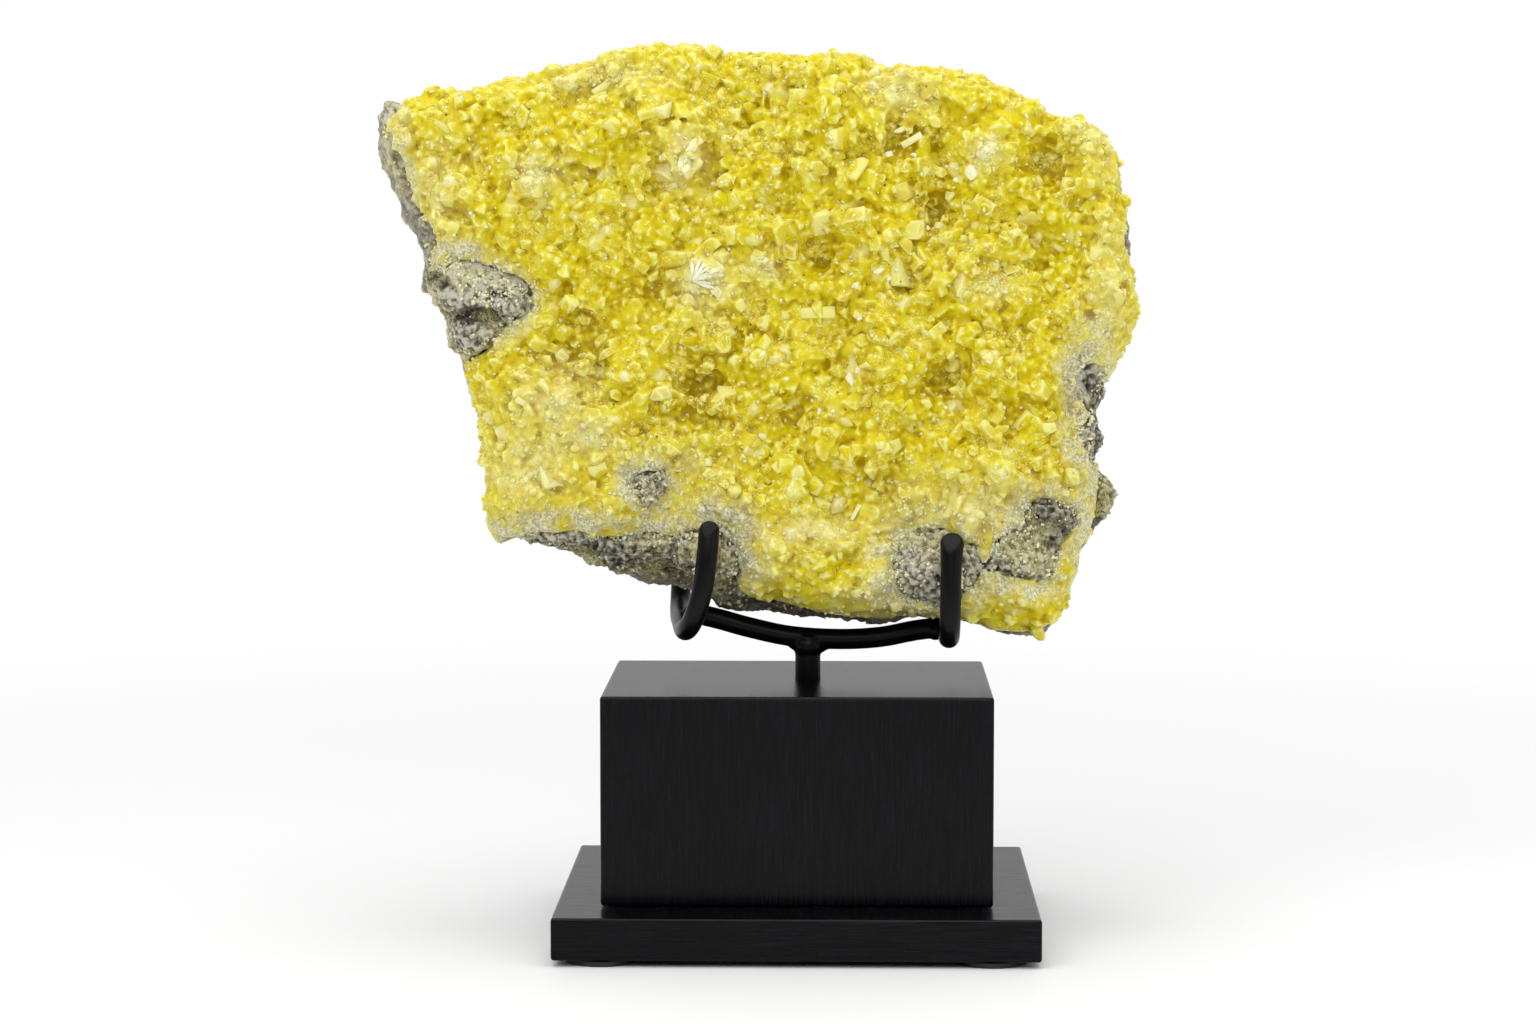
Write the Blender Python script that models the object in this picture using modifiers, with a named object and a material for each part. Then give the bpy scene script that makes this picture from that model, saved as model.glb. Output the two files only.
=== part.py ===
"""A native sulfur specimen held in a black steel cradle on a stepped, black wooden base.

The specimen stands upright, leaning back a little, with its crystal face towards -Y. The origin is on
the floor, under the middle of the whole object. Lengths that end in _MM are millimetres, because they
describe small natural shapes; all the others are metres.
"""

import math
import random

import bmesh
import bpy
from mathutils import Matrix, Vector, noise

MM = 0.001
GAP = 0.0003  # clearance between pieces that touch

# Wooden base, from the floor up. Its middle is a little to the right of the specimen's.
BASE_X = 0.0112
FOOT_DIAMETER, FOOT_HEIGHT = 0.019, 0.0013
FOOT_INSET_X, FOOT_INSET_Y = 0.0125, 0.0100
PLINTH_WIDTH, PLINTH_DEPTH, PLINTH_THICKNESS = 0.1252, 0.1064, 0.0110
BLOCK_WIDTH, BLOCK_DEPTH, BLOCK_HEIGHT = 0.1016, 0.0762, 0.0546
WOOD_EDGE = 0.0008
PLINTH_BOTTOM = FOOT_HEIGHT + GAP
BLOCK_BOTTOM = PLINTH_BOTTOM + PLINTH_THICKNESS + GAP
BLOCK_TOP = BLOCK_BOTTOM + BLOCK_HEIGHT

# Steel cradle: a stem let into the block, a bowed crossbar and two hooks that go under the stone.
STEM_X, STEM_RADIUS = 0.0137, 0.0033
BORE_DEPTH = 0.028
ROD_RADIUS = 0.0024
ROD_POINT_STEP = 0.005
# Rod routes are (x, y, z) in millimetres.
CROSSBAR_ROUTE_MM = [
    (-17.6, 0, 85.8), (-10, 0, 84.2), (-2, 0, 81.9), (9, 0, 79.4), (22, 0, 78.3), (33, 0, 78.8),
    (42.5, 0, 80.5), (51, 0, 81.6),
]
LEFT_HOOK_ROUTE_MM = [
    (-11.7, -27.2, 112.2), (-12.3, -28.7, 104), (-13.5, -29.2, 94.3), (-15.6, -27.4, 87.2),
    (-17.8, -21, 83.6), (-19.6, -2, 83.4), (-21, 17, 83.6), (-21.4, 25, 87.4), (-21.2, 28, 97),
    (-20.8, 29.4, 112), (-20.4, 31.2, 132), (-20, 31.8, 146),
]
RIGHT_HOOK_ROUTE_MM = [
    (51.2, -27.2, 109.2), (51, -28.8, 100), (50.9, -29.2, 91), (50.8, -27.4, 84.4), (50.8, -20, 81.3),
    (51.2, -2, 81.2), (51.6, 17, 81.4), (51.8, 25, 85.4), (51.8, 28, 95), (51.4, 29.4, 110),
    (51, 31.2, 130), (50.6, 31.8, 144),
]

# Specimen. Outlines are (x, z) in millimetres, seen from the crystal side, clockwise from the top left.
LEAN = math.radians(4)
REST_HEIGHT = 0.084
ROCK_OUTLINE_MM = [
    (-104, 217.5), (-99.5, 222.5), (-82, 223.5), (-63.5, 222.5), (-45, 228.5), (-30, 234), (-8, 232),
    (15, 232), (34, 230), (59, 226), (77.5, 216.5), (91.5, 211.5), (96, 203), (98.5, 190), (101, 174),
    (101, 164), (100.5, 160), (96, 153), (90.5, 147.5), (90.5, 129), (93.5, 121), (95, 115), (91, 107),
    (86, 101.5), (82.5, 87.5), (78.5, 80), (67, 80), (49, 83), (21, 84), (8, 85), (-10, 88), (-20, 90),
    (-30.5, 92.5), (-52, 103.5), (-68.5, 105.5), (-73, 112), (-75, 135), (-80, 151), (-86.5, 164),
    (-91.5, 173.5), (-88.5, 183.5), (-95.5, 193.5), (-101, 207.5),
]
CRUST_OUTLINE_MM = [
    (-97.5, 217.5), (-91.5, 223), (-82, 223.5), (-71, 226), (-56, 229.5), (-36.5, 232.5), (-30, 235),
    (-14, 235.5), (-8, 232), (4, 233), (15, 233), (22, 233.5), (34, 230), (48, 230), (59, 227),
    (70.5, 222.5), (77, 217.5), (86, 216.5), (91.5, 212.5), (95, 204), (97, 190), (100, 174), (100, 162),
    (93, 150.5), (90, 140), (89, 128), (90, 117), (89, 108), (85.5, 101.5), (83, 92), (77.5, 81), (66, 82),
    (49, 84), (36, 85), (21, 87), (8, 91), (-4, 96), (-14, 102), (-30, 106), (-52, 107), (-66.5, 106),
    (-70, 113), (-72.5, 124), (-72, 136), (-77, 150), (-82, 163), (-86.5, 173), (-83.5, 183.5),
    (-89, 193.5), (-94, 207),
]
ROCK_FRONT, ROCK_BACK, ROCK_RIM = -0.004, 0.023, 0.005
CRUST_FRONT, CRUST_BACK, CRUST_RIM = -0.0195, 0.002, 0.007

# Bare rock that stands out through the crystals: (x, y, z) and the half sizes along each, in millimetres.
OUTCROPS_MM = {
    "left_shoulder": ((-77, -13, 172), (12, 10, 9)),
    "left_shoulder_tip": ((-66, -15, 168), (8, 8, 7)),
    "left_shoulder_foot": ((-75, -12, 160), (8, 9, 8)),
    "small_knob": ((-28.5, -17, 119), (6, 8, 7)),
    "lower_left_ledge": ((-51, -7, 107), (16, 10, 5)),
    "lower_middle_ledge": ((-29, -9, 102), (16, 10, 7)),
    "left_prong_patch": ((-12, -14, 102), (10, 9, 9)),
    "right_prong_patch": ((47, -15, 99), (13, 10, 12)),
    "lower_right_patch": ((70, -15, 101), (11, 10, 9)),
    "lower_right_knob": ((77, -16, 111), (9, 10, 7)),
    "right_edge_rib": ((87, -11, 148), (6, 9, 12)),
    "right_edge_foot": ((87, -11, 132), (6, 9, 8)),
    "right_nub": ((91, -4, 116), (5, 8, 7)),
    "left_seat": ((-9, 2, 93), (7, 12, 7)),
    "right_seat": ((51, 4, 88), (8, 14, 6)),
}
# Hollows and bosses of the crystal face: (x, z, radius, height), in millimetres.
FACE_RELIEF_MM = [
    (-72, 160, 8, -6), (-16, 146, 8, -4), (48, 191, 8, -5), (44, 209, 9, -4), (42, 174, 8, -4),
    (19, 178, 9, -3), (-12, 200, 7, -3), (1, 215, 8, -3), (78, 204, 7, -4), (75, 181, 8, -4),
    (47, 148, 10, -4), (22, 155, 6, -3), (9, 136, 8, -3), (-47, 152, 8, -3), (26, 112, 8, -3),
    (-84, 203, 8, -2), (-71, 207, 8, -3), (-14, 173, 7, 2), (64, 148, 9, 4), (61, 208, 8, 4), (52, 181, 9, 3),
    (-58, 203, 8, 3), (-25, 212, 9, 3), (-55, 140, 11, 3), (61, 124, 11, 3), (40, 225, 9, 3), (29, 152, 7, 3),
    (1, 186, 9, 2), (-35, 184, 9, 2),
]

VOXEL = 0.0030
ROCK_TRIANGLES, CRUST_TRIANGLES = 1500, 1080
CRYSTAL_SEED = 17
# Heights of the close-set crystals, as shares of their width, on the face and on its rim.
LOW_CRYSTAL, HIGH_CRYSTAL = 0.22, 0.55
RIM_SHARE = 0.3
# The few large crystals that stand over the rest.
LARGE_CRYSTALS = 34
LARGE_HALF_WIDTH_MM = (4.4, 6.4)
PLACING_TRIES = 3000


# ---------------------------------------------------------------- scene and helpers


def clear_scene():
    for obj in list(bpy.data.objects):
        bpy.data.objects.remove(obj)


def new_collection(name):
    made = bpy.data.collections.new(name)
    bpy.context.scene.collection.children.link(made)
    return made


def new_material(name, colour, roughness, metallic=0.0):
    material = bpy.data.materials.new(name)
    material.use_nodes = True
    shader = material.node_tree.nodes["Principled BSDF"]
    shader.inputs["Base Color"].default_value = (*colour, 1)
    shader.inputs["Roughness"].default_value = roughness
    shader.inputs["Metallic"].default_value = metallic
    return material


def add_object(name, data, collection, material=None):
    obj = bpy.data.objects.new(name, data)
    collection.objects.link(obj)
    if material:
        data.materials.append(material)
    return obj


def mesh_from(shape, name):
    """A mesh from a bmesh, which is used up."""
    mesh = bpy.data.meshes.new(name)
    shape.to_mesh(mesh)
    shape.free()
    return mesh


def settle(obj):
    """Puts what an object's modifiers or curve make into a mesh object of the same name, in its place."""
    bpy.context.view_layer.update()
    graph = bpy.context.evaluated_depsgraph_get()
    mesh = bpy.data.meshes.new_from_object(obj.evaluated_get(graph))
    name, world = obj.name, obj.matrix_world.copy()
    parent, inverse = obj.parent, obj.matrix_parent_inverse.copy()
    home = obj.users_collection[0]
    bpy.data.objects.remove(obj)
    made = bpy.data.objects.new(name, mesh)
    home.objects.link(made)
    if parent:
        made.parent, made.matrix_parent_inverse = parent, inverse
    else:
        made.matrix_world = world
    return made


def as_cutter(obj, cutters):
    for home in list(obj.users_collection):
        home.objects.unlink(obj)
    cutters.objects.link(obj)
    obj.hide_render = True
    obj.display_type = "WIRE"
    return obj


def add_boolean(obj, other, operation):
    modifier = obj.modifiers.new(operation.lower(), "BOOLEAN")
    modifier.operation = operation
    modifier.object = other
    return modifier


def weld(mesh, distance=0.00001):
    shape = bmesh.new()
    shape.from_mesh(mesh)
    bmesh.ops.remove_doubles(shape, verts=shape.verts, dist=distance)
    shape.to_mesh(mesh)
    shape.free()


def keep_largest_body(mesh):
    """Drops the crumbs that a cut leaves beside the main body."""
    shape = bmesh.new()
    shape.from_mesh(mesh)
    unseen = set(shape.verts)
    bodies = []
    while unseen:
        start = unseen.pop()
        body, edge = [start], [start]
        while edge:
            vertex = edge.pop()
            for link in vertex.link_edges:
                other = link.other_vert(vertex)
                if other in unseen:
                    unseen.remove(other)
                    body.append(other)
                    edge.append(other)
        bodies.append(body)
    largest = max(bodies, key=len)
    crumbs = [vertex for body in bodies if body is not largest for vertex in body]
    bmesh.ops.delete(shape, geom=crumbs, context="VERTS")
    shape.to_mesh(mesh)
    shape.free()


# ---------------------------------------------------------------- wooden base


def make_board(name, size, bottom, collection, material):
    """A wooden box with softened edges, centred on the base."""
    shape = bmesh.new()
    bmesh.ops.create_cube(shape, size=1)
    bmesh.ops.scale(shape, vec=size, verts=shape.verts)
    board = add_object(name, mesh_from(shape, name), collection, material)
    board.location = (BASE_X, 0, bottom + size[2] / 2)
    edges = board.modifiers.new("softened edges", "BEVEL")
    edges.width = WOOD_EDGE
    edges.segments = 3
    return board


def make_bore(cutters):
    """The hole in the block that the stem stands in."""
    shape = bmesh.new()
    above = 0.005
    radius = STEM_RADIUS + GAP
    bmesh.ops.create_cone(
        shape, cap_ends=True, segments=24, radius1=radius, radius2=radius, depth=BORE_DEPTH + above
    )
    bore = add_object("bore", mesh_from(shape, "bore"), cutters)
    bore.location = (STEM_X, 0, BLOCK_TOP + (above - BORE_DEPTH) / 2)
    return as_cutter(bore, cutters)


def make_feet(collection, material):
    across = PLINTH_WIDTH / 2 - FOOT_INSET_X
    along = PLINTH_DEPTH / 2 - FOOT_INSET_Y
    radius = FOOT_DIAMETER / 2
    for name, side, end in (
        ("foot_front_left", -1, -1), ("foot_front_right", 1, -1),
        ("foot_back_left", -1, 1), ("foot_back_right", 1, 1),
    ):
        shape = bmesh.new()
        bmesh.ops.create_cone(
            shape, cap_ends=True, segments=28, radius1=radius, radius2=radius, depth=FOOT_HEIGHT
        )
        foot = add_object(name, mesh_from(shape, name), collection, material)
        foot.location = (BASE_X + side * across, end * along, FOOT_HEIGHT / 2)


# ---------------------------------------------------------------- steel cradle


def smooth_route(points_mm, step=ROD_POINT_STEP):
    """Points a step apart on a Catmull-Rom curve through a rod's own points."""
    points = [Vector(p) * MM for p in points_mm]
    padded = [2 * points[0] - points[1], *points, 2 * points[-1] - points[-2]]
    made = []
    for a, b, c, d in zip(padded, padded[1:], padded[2:], padded[3:]):
        count = max(1, round((c - b).length / step))
        for i in range(count):
            t = i / count
            bend, twist = 2 * a - 5 * b + 4 * c - d, 3 * b - a - 3 * c + d
            made.append(0.5 * (2 * b + (c - a) * t + bend * t * t + twist * t**3))
    return [*made, points[-1]]


def make_rod(name, route_mm, radius, collection, material=None):
    curve = bpy.data.curves.new(name, "CURVE")
    curve.dimensions = "3D"
    curve.bevel_depth = radius
    curve.bevel_resolution = 3
    curve.use_fill_caps = True
    points = smooth_route(route_mm)
    spline = curve.splines.new("POLY")
    spline.points.add(len(points) - 1)
    for spline_point, point in zip(spline.points, points):
        spline_point.co = (*point, 1)
    rod = settle(add_object(name, curve, collection, material))
    weld(rod.data)
    return rod


def make_stem(collection, material):
    bottom = BLOCK_TOP - BORE_DEPTH + GAP
    top = 0.0795  # inside the crossbar, which is then cut out of it
    shape = bmesh.new()
    bmesh.ops.create_cone(
        shape, cap_ends=True, segments=24, radius1=STEM_RADIUS, radius2=STEM_RADIUS, depth=top - bottom
    )
    stem = add_object("stem", mesh_from(shape, "stem"), collection, material)
    stem.location = (STEM_X, 0, (top + bottom) / 2)
    return stem


def make_cradle(collection, cutters, material):
    """The stem and crossbar are coped to the rods that they meet. Returns the grown hooks, as cutters."""
    make_rod("left_hook", LEFT_HOOK_ROUTE_MM, ROD_RADIUS, collection, material)
    make_rod("right_hook", RIGHT_HOOK_ROUTE_MM, ROD_RADIUS, collection, material)
    crossbar = make_rod("crossbar", CROSSBAR_ROUTE_MM, ROD_RADIUS, collection, material)
    stem = make_stem(collection, material)
    room = ROD_RADIUS + GAP
    hook_cutters = [
        as_cutter(make_rod("left_hook_room", LEFT_HOOK_ROUTE_MM, room, cutters), cutters),
        as_cutter(make_rod("right_hook_room", RIGHT_HOOK_ROUTE_MM, room, cutters), cutters),
    ]
    crossbar_cutter = as_cutter(make_rod("crossbar_room", CROSSBAR_ROUTE_MM, room, cutters), cutters)
    for cutter in hook_cutters:
        add_boolean(crossbar, cutter, "DIFFERENCE")
    keep_largest_body(settle(crossbar).data)
    add_boolean(stem, crossbar_cutter, "DIFFERENCE")
    keep_largest_body(settle(stem).data)
    return [*hook_cutters, crossbar_cutter]


# ---------------------------------------------------------------- specimen


def make_slab(name, outline_mm, front, back, rim, collection):
    """A flat outline in the XZ plane with thickness along Y and rounded rims."""
    curve = bpy.data.curves.new(name, "CURVE")
    curve.dimensions = "2D"
    curve.fill_mode = "BOTH"
    curve.bevel_depth = rim
    curve.bevel_resolution = 2
    curve.extrude = (back - front) / 2 - rim
    curve.offset = -rim
    spline = curve.splines.new("POLY")
    spline.points.add(len(outline_mm) - 1)
    spline.use_cyclic_u = True
    for spline_point, (x, z) in zip(spline.points, outline_mm):
        spline_point.co = (x * MM, z * MM, 0, 1)
    slab = add_object(name, curve, collection)
    slab.rotation_euler.x = math.pi / 2
    slab.location.y = (front + back) / 2
    slab = settle(slab)
    slab.data.transform(slab.matrix_world)
    slab.matrix_world = Matrix.Identity(4)
    return slab


def remesh(obj, voxel=VOXEL):
    modifier = obj.modifiers.new("even mesh", "REMESH")
    modifier.mode = "VOXEL"
    modifier.voxel_size = voxel
    return settle(obj)


def thin_out(obj, triangles):
    """Collapses edges until about that many triangles are left."""
    now = sum(len(face.vertices) - 2 for face in obj.data.polygons)
    modifier = obj.modifiers.new("fewer faces", "DECIMATE")
    modifier.ratio = triangles / now
    modifier.use_collapse_triangulate = True
    return settle(obj)


def roughness_at(point, size, seed):
    """Fractal noise of about -1 to 1, with features of that size."""
    return noise.fractal(point / size + Vector((seed, 0, 0)), 1.0, 2.0, 3)


def face_relief(x, z):
    """How far the crystal face stands out at a place, from its hollows and bosses."""
    return MM * sum(
        height * math.exp(-((x / MM - cx) ** 2 + (z / MM - cz) ** 2) / (2 * (0.6 * radius) ** 2))
        for cx, cz, radius, height in FACE_RELIEF_MM
    )


def make_rock(collection, material):
    """The slab of host rock, with the outcrops that come through the crystals."""
    rock = make_slab("host_rock", ROCK_OUTLINE_MM, ROCK_FRONT, ROCK_BACK, ROCK_RIM, collection)
    shape = bmesh.new()
    shape.from_mesh(rock.data)
    for centre, half in OUTCROPS_MM.values():
        place = Matrix.Translation(Vector(centre) * MM) @ Matrix.Diagonal((*(Vector(half) * MM), 1))
        bmesh.ops.create_icosphere(shape, subdivisions=2, radius=1, matrix=place)
    shape.to_mesh(rock.data)
    shape.free()
    rock = remesh(rock)
    normals = [vertex.normal.copy() for vertex in rock.data.vertices]
    for vertex, normal in zip(rock.data.vertices, normals):
        chips = 1.6 * MM * roughness_at(vertex.co, 0.020, 3) + 0.9 * MM * roughness_at(vertex.co, 0.006, 9)
        vertex.co += normal * (chips - 0.4 * MM)
    rock = thin_out(rock, ROCK_TRIANGLES)
    rock.data.materials.append(material)
    return rock


def make_crust_bed(collection):
    """The layer that the crystals stand on."""
    slab = make_slab("sulfur_crystals", CRUST_OUTLINE_MM, CRUST_FRONT, CRUST_BACK, CRUST_RIM, collection)
    bed = remesh(slab)
    normals = [vertex.normal.copy() for vertex in bed.data.vertices]
    for vertex, normal in zip(bed.data.vertices, normals):
        swell = 1.8 * MM * roughness_at(vertex.co, 0.026, 21) + 1.0 * MM * roughness_at(vertex.co, 0.009, 33)
        if normal.y < 0:
            swell -= face_relief(vertex.co.x, vertex.co.z) * normal.y
        vertex.co += normal * swell
    return thin_out(bed, CRUST_TRIANGLES)


def near_outcrop(point, margin_mm=1.0):
    for centre, half in OUTCROPS_MM.values():
        away = [(point[i] / MM - centre[i]) / (half[i] + margin_mm) for i in (0, 2)]
        if math.hypot(*away) < 1:
            return True
    return False


def raise_crystal(shape, face, share, chance):
    """Turns one face of the bed into a blunt crystal with a flat, tilted top."""
    width = math.sqrt(face.calc_area())
    normal = face.normal.copy()
    centre = face.calc_center_median()
    bmesh.ops.inset_individual(
        shape, faces=[face], thickness=width * chance.uniform(0.12, 0.22), depth=0, use_even_offset=True
    )
    height = share * width * chance.uniform(LOW_CRYSTAL, HIGH_CRYSTAL)
    slope = Vector((chance.uniform(-1, 1), chance.uniform(-1, 1), chance.uniform(-1, 1))) * 0.45 * share
    for vertex in face.verts:
        vertex.co += normal * (height + slope.dot(vertex.co - centre))


def cover_with_crystals(bed):
    """Joins the bed's triangles in pairs and raises a crystal on each face of its front and rim."""
    chance = random.Random(CRYSTAL_SEED)
    shape = bmesh.new()
    shape.from_mesh(bed.data)
    covered = [face for face in shape.faces if face.normal.y < 0.1]
    bmesh.ops.join_triangles(
        shape, faces=covered, angle_face_threshold=math.radians(50), angle_shape_threshold=math.radians(70)
    )
    for face in [face for face in shape.faces if face.normal.y < 0.1]:
        if near_outcrop(face.calc_center_median()):
            continue
        raise_crystal(shape, face, 1 if face.normal.y < -0.75 else RIM_SHARE, chance)
    bmesh.ops.triangulate(shape, faces=shape.faces)
    shape.to_mesh(bed.data)
    shape.free()


def large_crystal_sites(bed, chance):
    """Places for the large crystals: (point, normal, half width), spread evenly over the face."""
    spots = sorted(
        (round(c.x, 5), round(c.z, 5), round(c.y, 5), n.copy())
        for c, n in ((face.center, face.normal) for face in bed.data.polygons)
        if n.y < -0.8
    )
    sites = []
    for _ in range(PLACING_TRIES):
        x, z, y, normal = chance.choice(spots)
        half = chance.uniform(*LARGE_HALF_WIDTH_MM) * MM
        point = Vector((x, y, z))
        if near_outcrop(point, 3):
            continue
        if all((point - other).length > 1.5 * (half + reach) for other, _, reach in sites):
            sites.append((point, normal, half))
        if len(sites) == LARGE_CRYSTALS:
            break
    return sites


def add_crystal(shape, point, normal, half, chance):
    """A blunt four-sided pyramid with a flat top, standing out of the bed."""
    tall = half * chance.uniform(1.2, 1.7)
    turn = Matrix.Rotation(chance.uniform(0, math.tau), 4, "Z")
    stretch = Matrix.Diagonal((1, chance.uniform(0.75, 0.95), 1, 1))
    tilt = Vector((chance.gauss(0, 0.25), chance.gauss(0, 0.25), chance.gauss(0, 0.25)))
    aim = (normal + tilt).normalized().to_track_quat("Z", "Y").to_matrix().to_4x4()
    place = Matrix.Translation(point) @ aim @ turn @ stretch
    top = half * chance.uniform(0.4, 0.6)
    bmesh.ops.create_cone(
        shape, cap_ends=True, segments=4, radius1=half, radius2=top, depth=tall, matrix=place
    )


def make_large_crystals(bed, cutters):
    """The large crystals as one object of loose pieces, for the union with their bed."""
    chance = random.Random(CRYSTAL_SEED)
    shape = bmesh.new()
    for point, normal, half in large_crystal_sites(bed, chance):
        add_crystal(shape, point, normal, half, chance)
    return as_cutter(add_object("large_crystals", mesh_from(shape, "large_crystals"), cutters), cutters)


def make_specimen(collection, cutters, cradle_cutters, rock_material, sulfur_material):
    lean = add_object("specimen_lean", None, collection)
    lean.location.z = REST_HEIGHT
    rock = make_rock(collection, rock_material)
    crust = make_crust_bed(collection)

    large_crystals = make_large_crystals(crust, cutters)
    cover_with_crystals(crust)
    union = add_boolean(crust, large_crystals, "UNION")
    union.use_self = True
    crust = settle(crust)

    room = add_object("rock_room", rock.data.copy(), cutters)
    growth = room.modifiers.new("growth", "DISPLACE")
    growth.strength = 2 * GAP
    growth.mid_level = 0
    as_cutter(room, cutters)
    add_boolean(crust, room, "DIFFERENCE")
    add_boolean(crust, rock, "DIFFERENCE")

    for piece in (rock, crust, room):
        piece.parent = lean
        piece.matrix_parent_inverse = Matrix.Translation((0, 0, -REST_HEIGHT))
    lean.rotation_euler.x = -LEAN
    for piece in (rock, crust):
        for cutter in cradle_cutters:
            add_boolean(piece, cutter, "DIFFERENCE")
    # The crust comes first, because the rock is one of its cutters.
    for piece, material in ((crust, sulfur_material), (rock, rock_material)):
        piece = settle(piece)
        keep_largest_body(piece.data)
        piece.data.materials.clear()
        piece.data.materials.append(material)


def shade(collection):
    for obj in collection.objects:
        if obj.type != "MESH" or obj.name in ("host_rock", "sulfur_crystals"):
            continue
        obj.data.shade_smooth()
        obj.data.set_sharp_from_angle(angle=math.radians(35))


def main():
    clear_scene()
    parts = new_collection("sulfur_specimen_on_stand")
    cutters = new_collection("cutters")
    wood = new_material("black_wood", (0.012, 0.012, 0.014), 0.42)
    steel = new_material("black_steel", (0.010, 0.010, 0.011), 0.38, 0.6)
    rubber = new_material("black_rubber", (0.015, 0.015, 0.015), 0.8)
    stone = new_material("grey_rock", (0.36, 0.34, 0.29), 0.9)
    sulfur = new_material("sulfur", (0.84, 0.72, 0.06), 0.35)

    make_board("plinth", (PLINTH_WIDTH, PLINTH_DEPTH, PLINTH_THICKNESS), PLINTH_BOTTOM, parts, wood)
    block = make_board("block", (BLOCK_WIDTH, BLOCK_DEPTH, BLOCK_HEIGHT), BLOCK_BOTTOM, parts, wood)
    add_boolean(block, make_bore(cutters), "DIFFERENCE")
    make_feet(parts, rubber)
    cradle_cutters = make_cradle(parts, cutters, steel)
    make_specimen(parts, cutters, cradle_cutters, stone, sulfur)
    shade(parts)


main()
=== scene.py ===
import math
import random

import bmesh
import bpy
import numpy as np
from mathutils import Matrix, Quaternion, Vector, bvhtree, noise


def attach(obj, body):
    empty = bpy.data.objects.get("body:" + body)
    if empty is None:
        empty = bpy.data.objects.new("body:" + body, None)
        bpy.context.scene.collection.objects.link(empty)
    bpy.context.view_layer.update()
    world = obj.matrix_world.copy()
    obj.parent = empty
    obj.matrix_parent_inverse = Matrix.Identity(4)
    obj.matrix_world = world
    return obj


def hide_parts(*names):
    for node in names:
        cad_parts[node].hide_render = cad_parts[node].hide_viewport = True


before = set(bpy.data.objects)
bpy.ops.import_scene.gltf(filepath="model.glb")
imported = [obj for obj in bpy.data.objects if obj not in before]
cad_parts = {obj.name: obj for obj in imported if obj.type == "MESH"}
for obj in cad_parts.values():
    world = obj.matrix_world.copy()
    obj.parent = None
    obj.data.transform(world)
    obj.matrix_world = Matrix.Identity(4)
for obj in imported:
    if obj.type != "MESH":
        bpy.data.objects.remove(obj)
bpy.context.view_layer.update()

mm = 0.001

# the specimen leans back about a line through its foot
lean = {"angle": math.radians(4), "footHeight": 0.084}
leanPlace = (
    Matrix.Translation((0, 0, lean["footHeight"]))
    @ Matrix.Rotation(-lean["angle"], 4, "X")
    @ Matrix.Translation((0, 0, -lean["footHeight"]))
)
upright = leanPlace.inverted()


def say(text):
    print("stage:", text, flush=True)


def addPiece(name, mesh, replaced=()):
    piece = bpy.data.objects.new(name, mesh)
    bpy.context.scene.collection.objects.link(piece)
    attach(piece, "root")
    if replaced:
        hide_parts(*replaced)
    return piece


def settle(obj):
    bpy.context.view_layer.update()
    graph = bpy.context.evaluated_depsgraph_get()
    mesh = bpy.data.meshes.new_from_object(obj.evaluated_get(graph))
    bpy.data.objects.remove(obj)
    return mesh


def workObject(mesh, name="work"):
    obj = bpy.data.objects.new(name, mesh)
    bpy.context.scene.collection.objects.link(obj)
    return obj


def remeshed(mesh, voxel, smoothing=0):
    obj = workObject(mesh)
    even = obj.modifiers.new("even mesh", "REMESH")
    even.mode = "VOXEL"
    even.voxel_size = voxel
    if smoothing:
        soft = obj.modifiers.new("soft", "SMOOTH")
        soft.factor = 0.5
        soft.iterations = smoothing
    return settle(obj)


def readArray(items, field, width, kind=np.float32):
    flat = np.empty(len(items) * width, kind)
    items.foreach_get(field, flat)
    return flat.reshape(-1, width)


def coordinates(mesh):
    return readArray(mesh.vertices, "co", 3)


def setCoordinates(mesh, points):
    mesh.vertices.foreach_set("co", np.asarray(points, np.float32).ravel())
    mesh.update()


def vertexNormals(mesh):
    return readArray(mesh.vertex_normals, "vector", 3)


def unit(values):
    return np.clip(values, 0, 1)


def fractal(point, size, seed, octaves=3):
    return noise.fractal(point / size + Vector((seed, seed * 0.7, 0)), 1.0, 2.1, octaves)


def localPlaces(points):
    turn = np.array(upright)
    return (np.asarray(points) @ turn[:3, :3].T + turn[:3, 3]) / mm


def smoothedPoints(points, edges, rounds):
    a, b = edges[:, 0], edges[:, 1]
    both, other = np.concatenate([a, b]), np.concatenate([b, a])
    count = np.maximum(np.bincount(both, minlength=len(points)), 1)
    soft = points.astype(np.float64)
    for _ in range(rounds):
        gathered = np.stack([np.bincount(both, soft[other, k], len(points)) for k in range(3)], axis=1)
        soft = 0.5 * soft + 0.5 * gathered / count[:, None]
    return soft


def standOut(mesh, nearRounds, farRounds):
    # how far each point stands out of its close and of its wider surroundings, in mm
    points, normals = coordinates(mesh), vertexNormals(mesh)
    edges = readArray(mesh.edges, "vertices", 2, np.int32)
    near = smoothedPoints(points, edges, nearRounds)
    far = smoothedPoints(near, edges, farRounds)
    sharp = np.einsum("ij,ij->i", points - near, normals) / mm
    broad = np.einsum("ij,ij->i", near - far, normals) / mm
    return points, sharp, broad


def meshTriangles(mesh):
    mesh.calc_loop_triangles()
    return readArray(mesh.loop_triangles, "vertices", 3, np.int32)


def meshOf(shape, name):
    mesh = bpy.data.meshes.new(name)
    shape.to_mesh(mesh)
    shape.free()
    return mesh


def shapeArrays(shape):
    shape.verts.ensure_lookup_table()
    points = np.array([v.co[:] for v in shape.verts])
    faces = np.array([[v.index for v in f.verts] for f in shape.faces])
    shape.free()
    return points, faces


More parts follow.
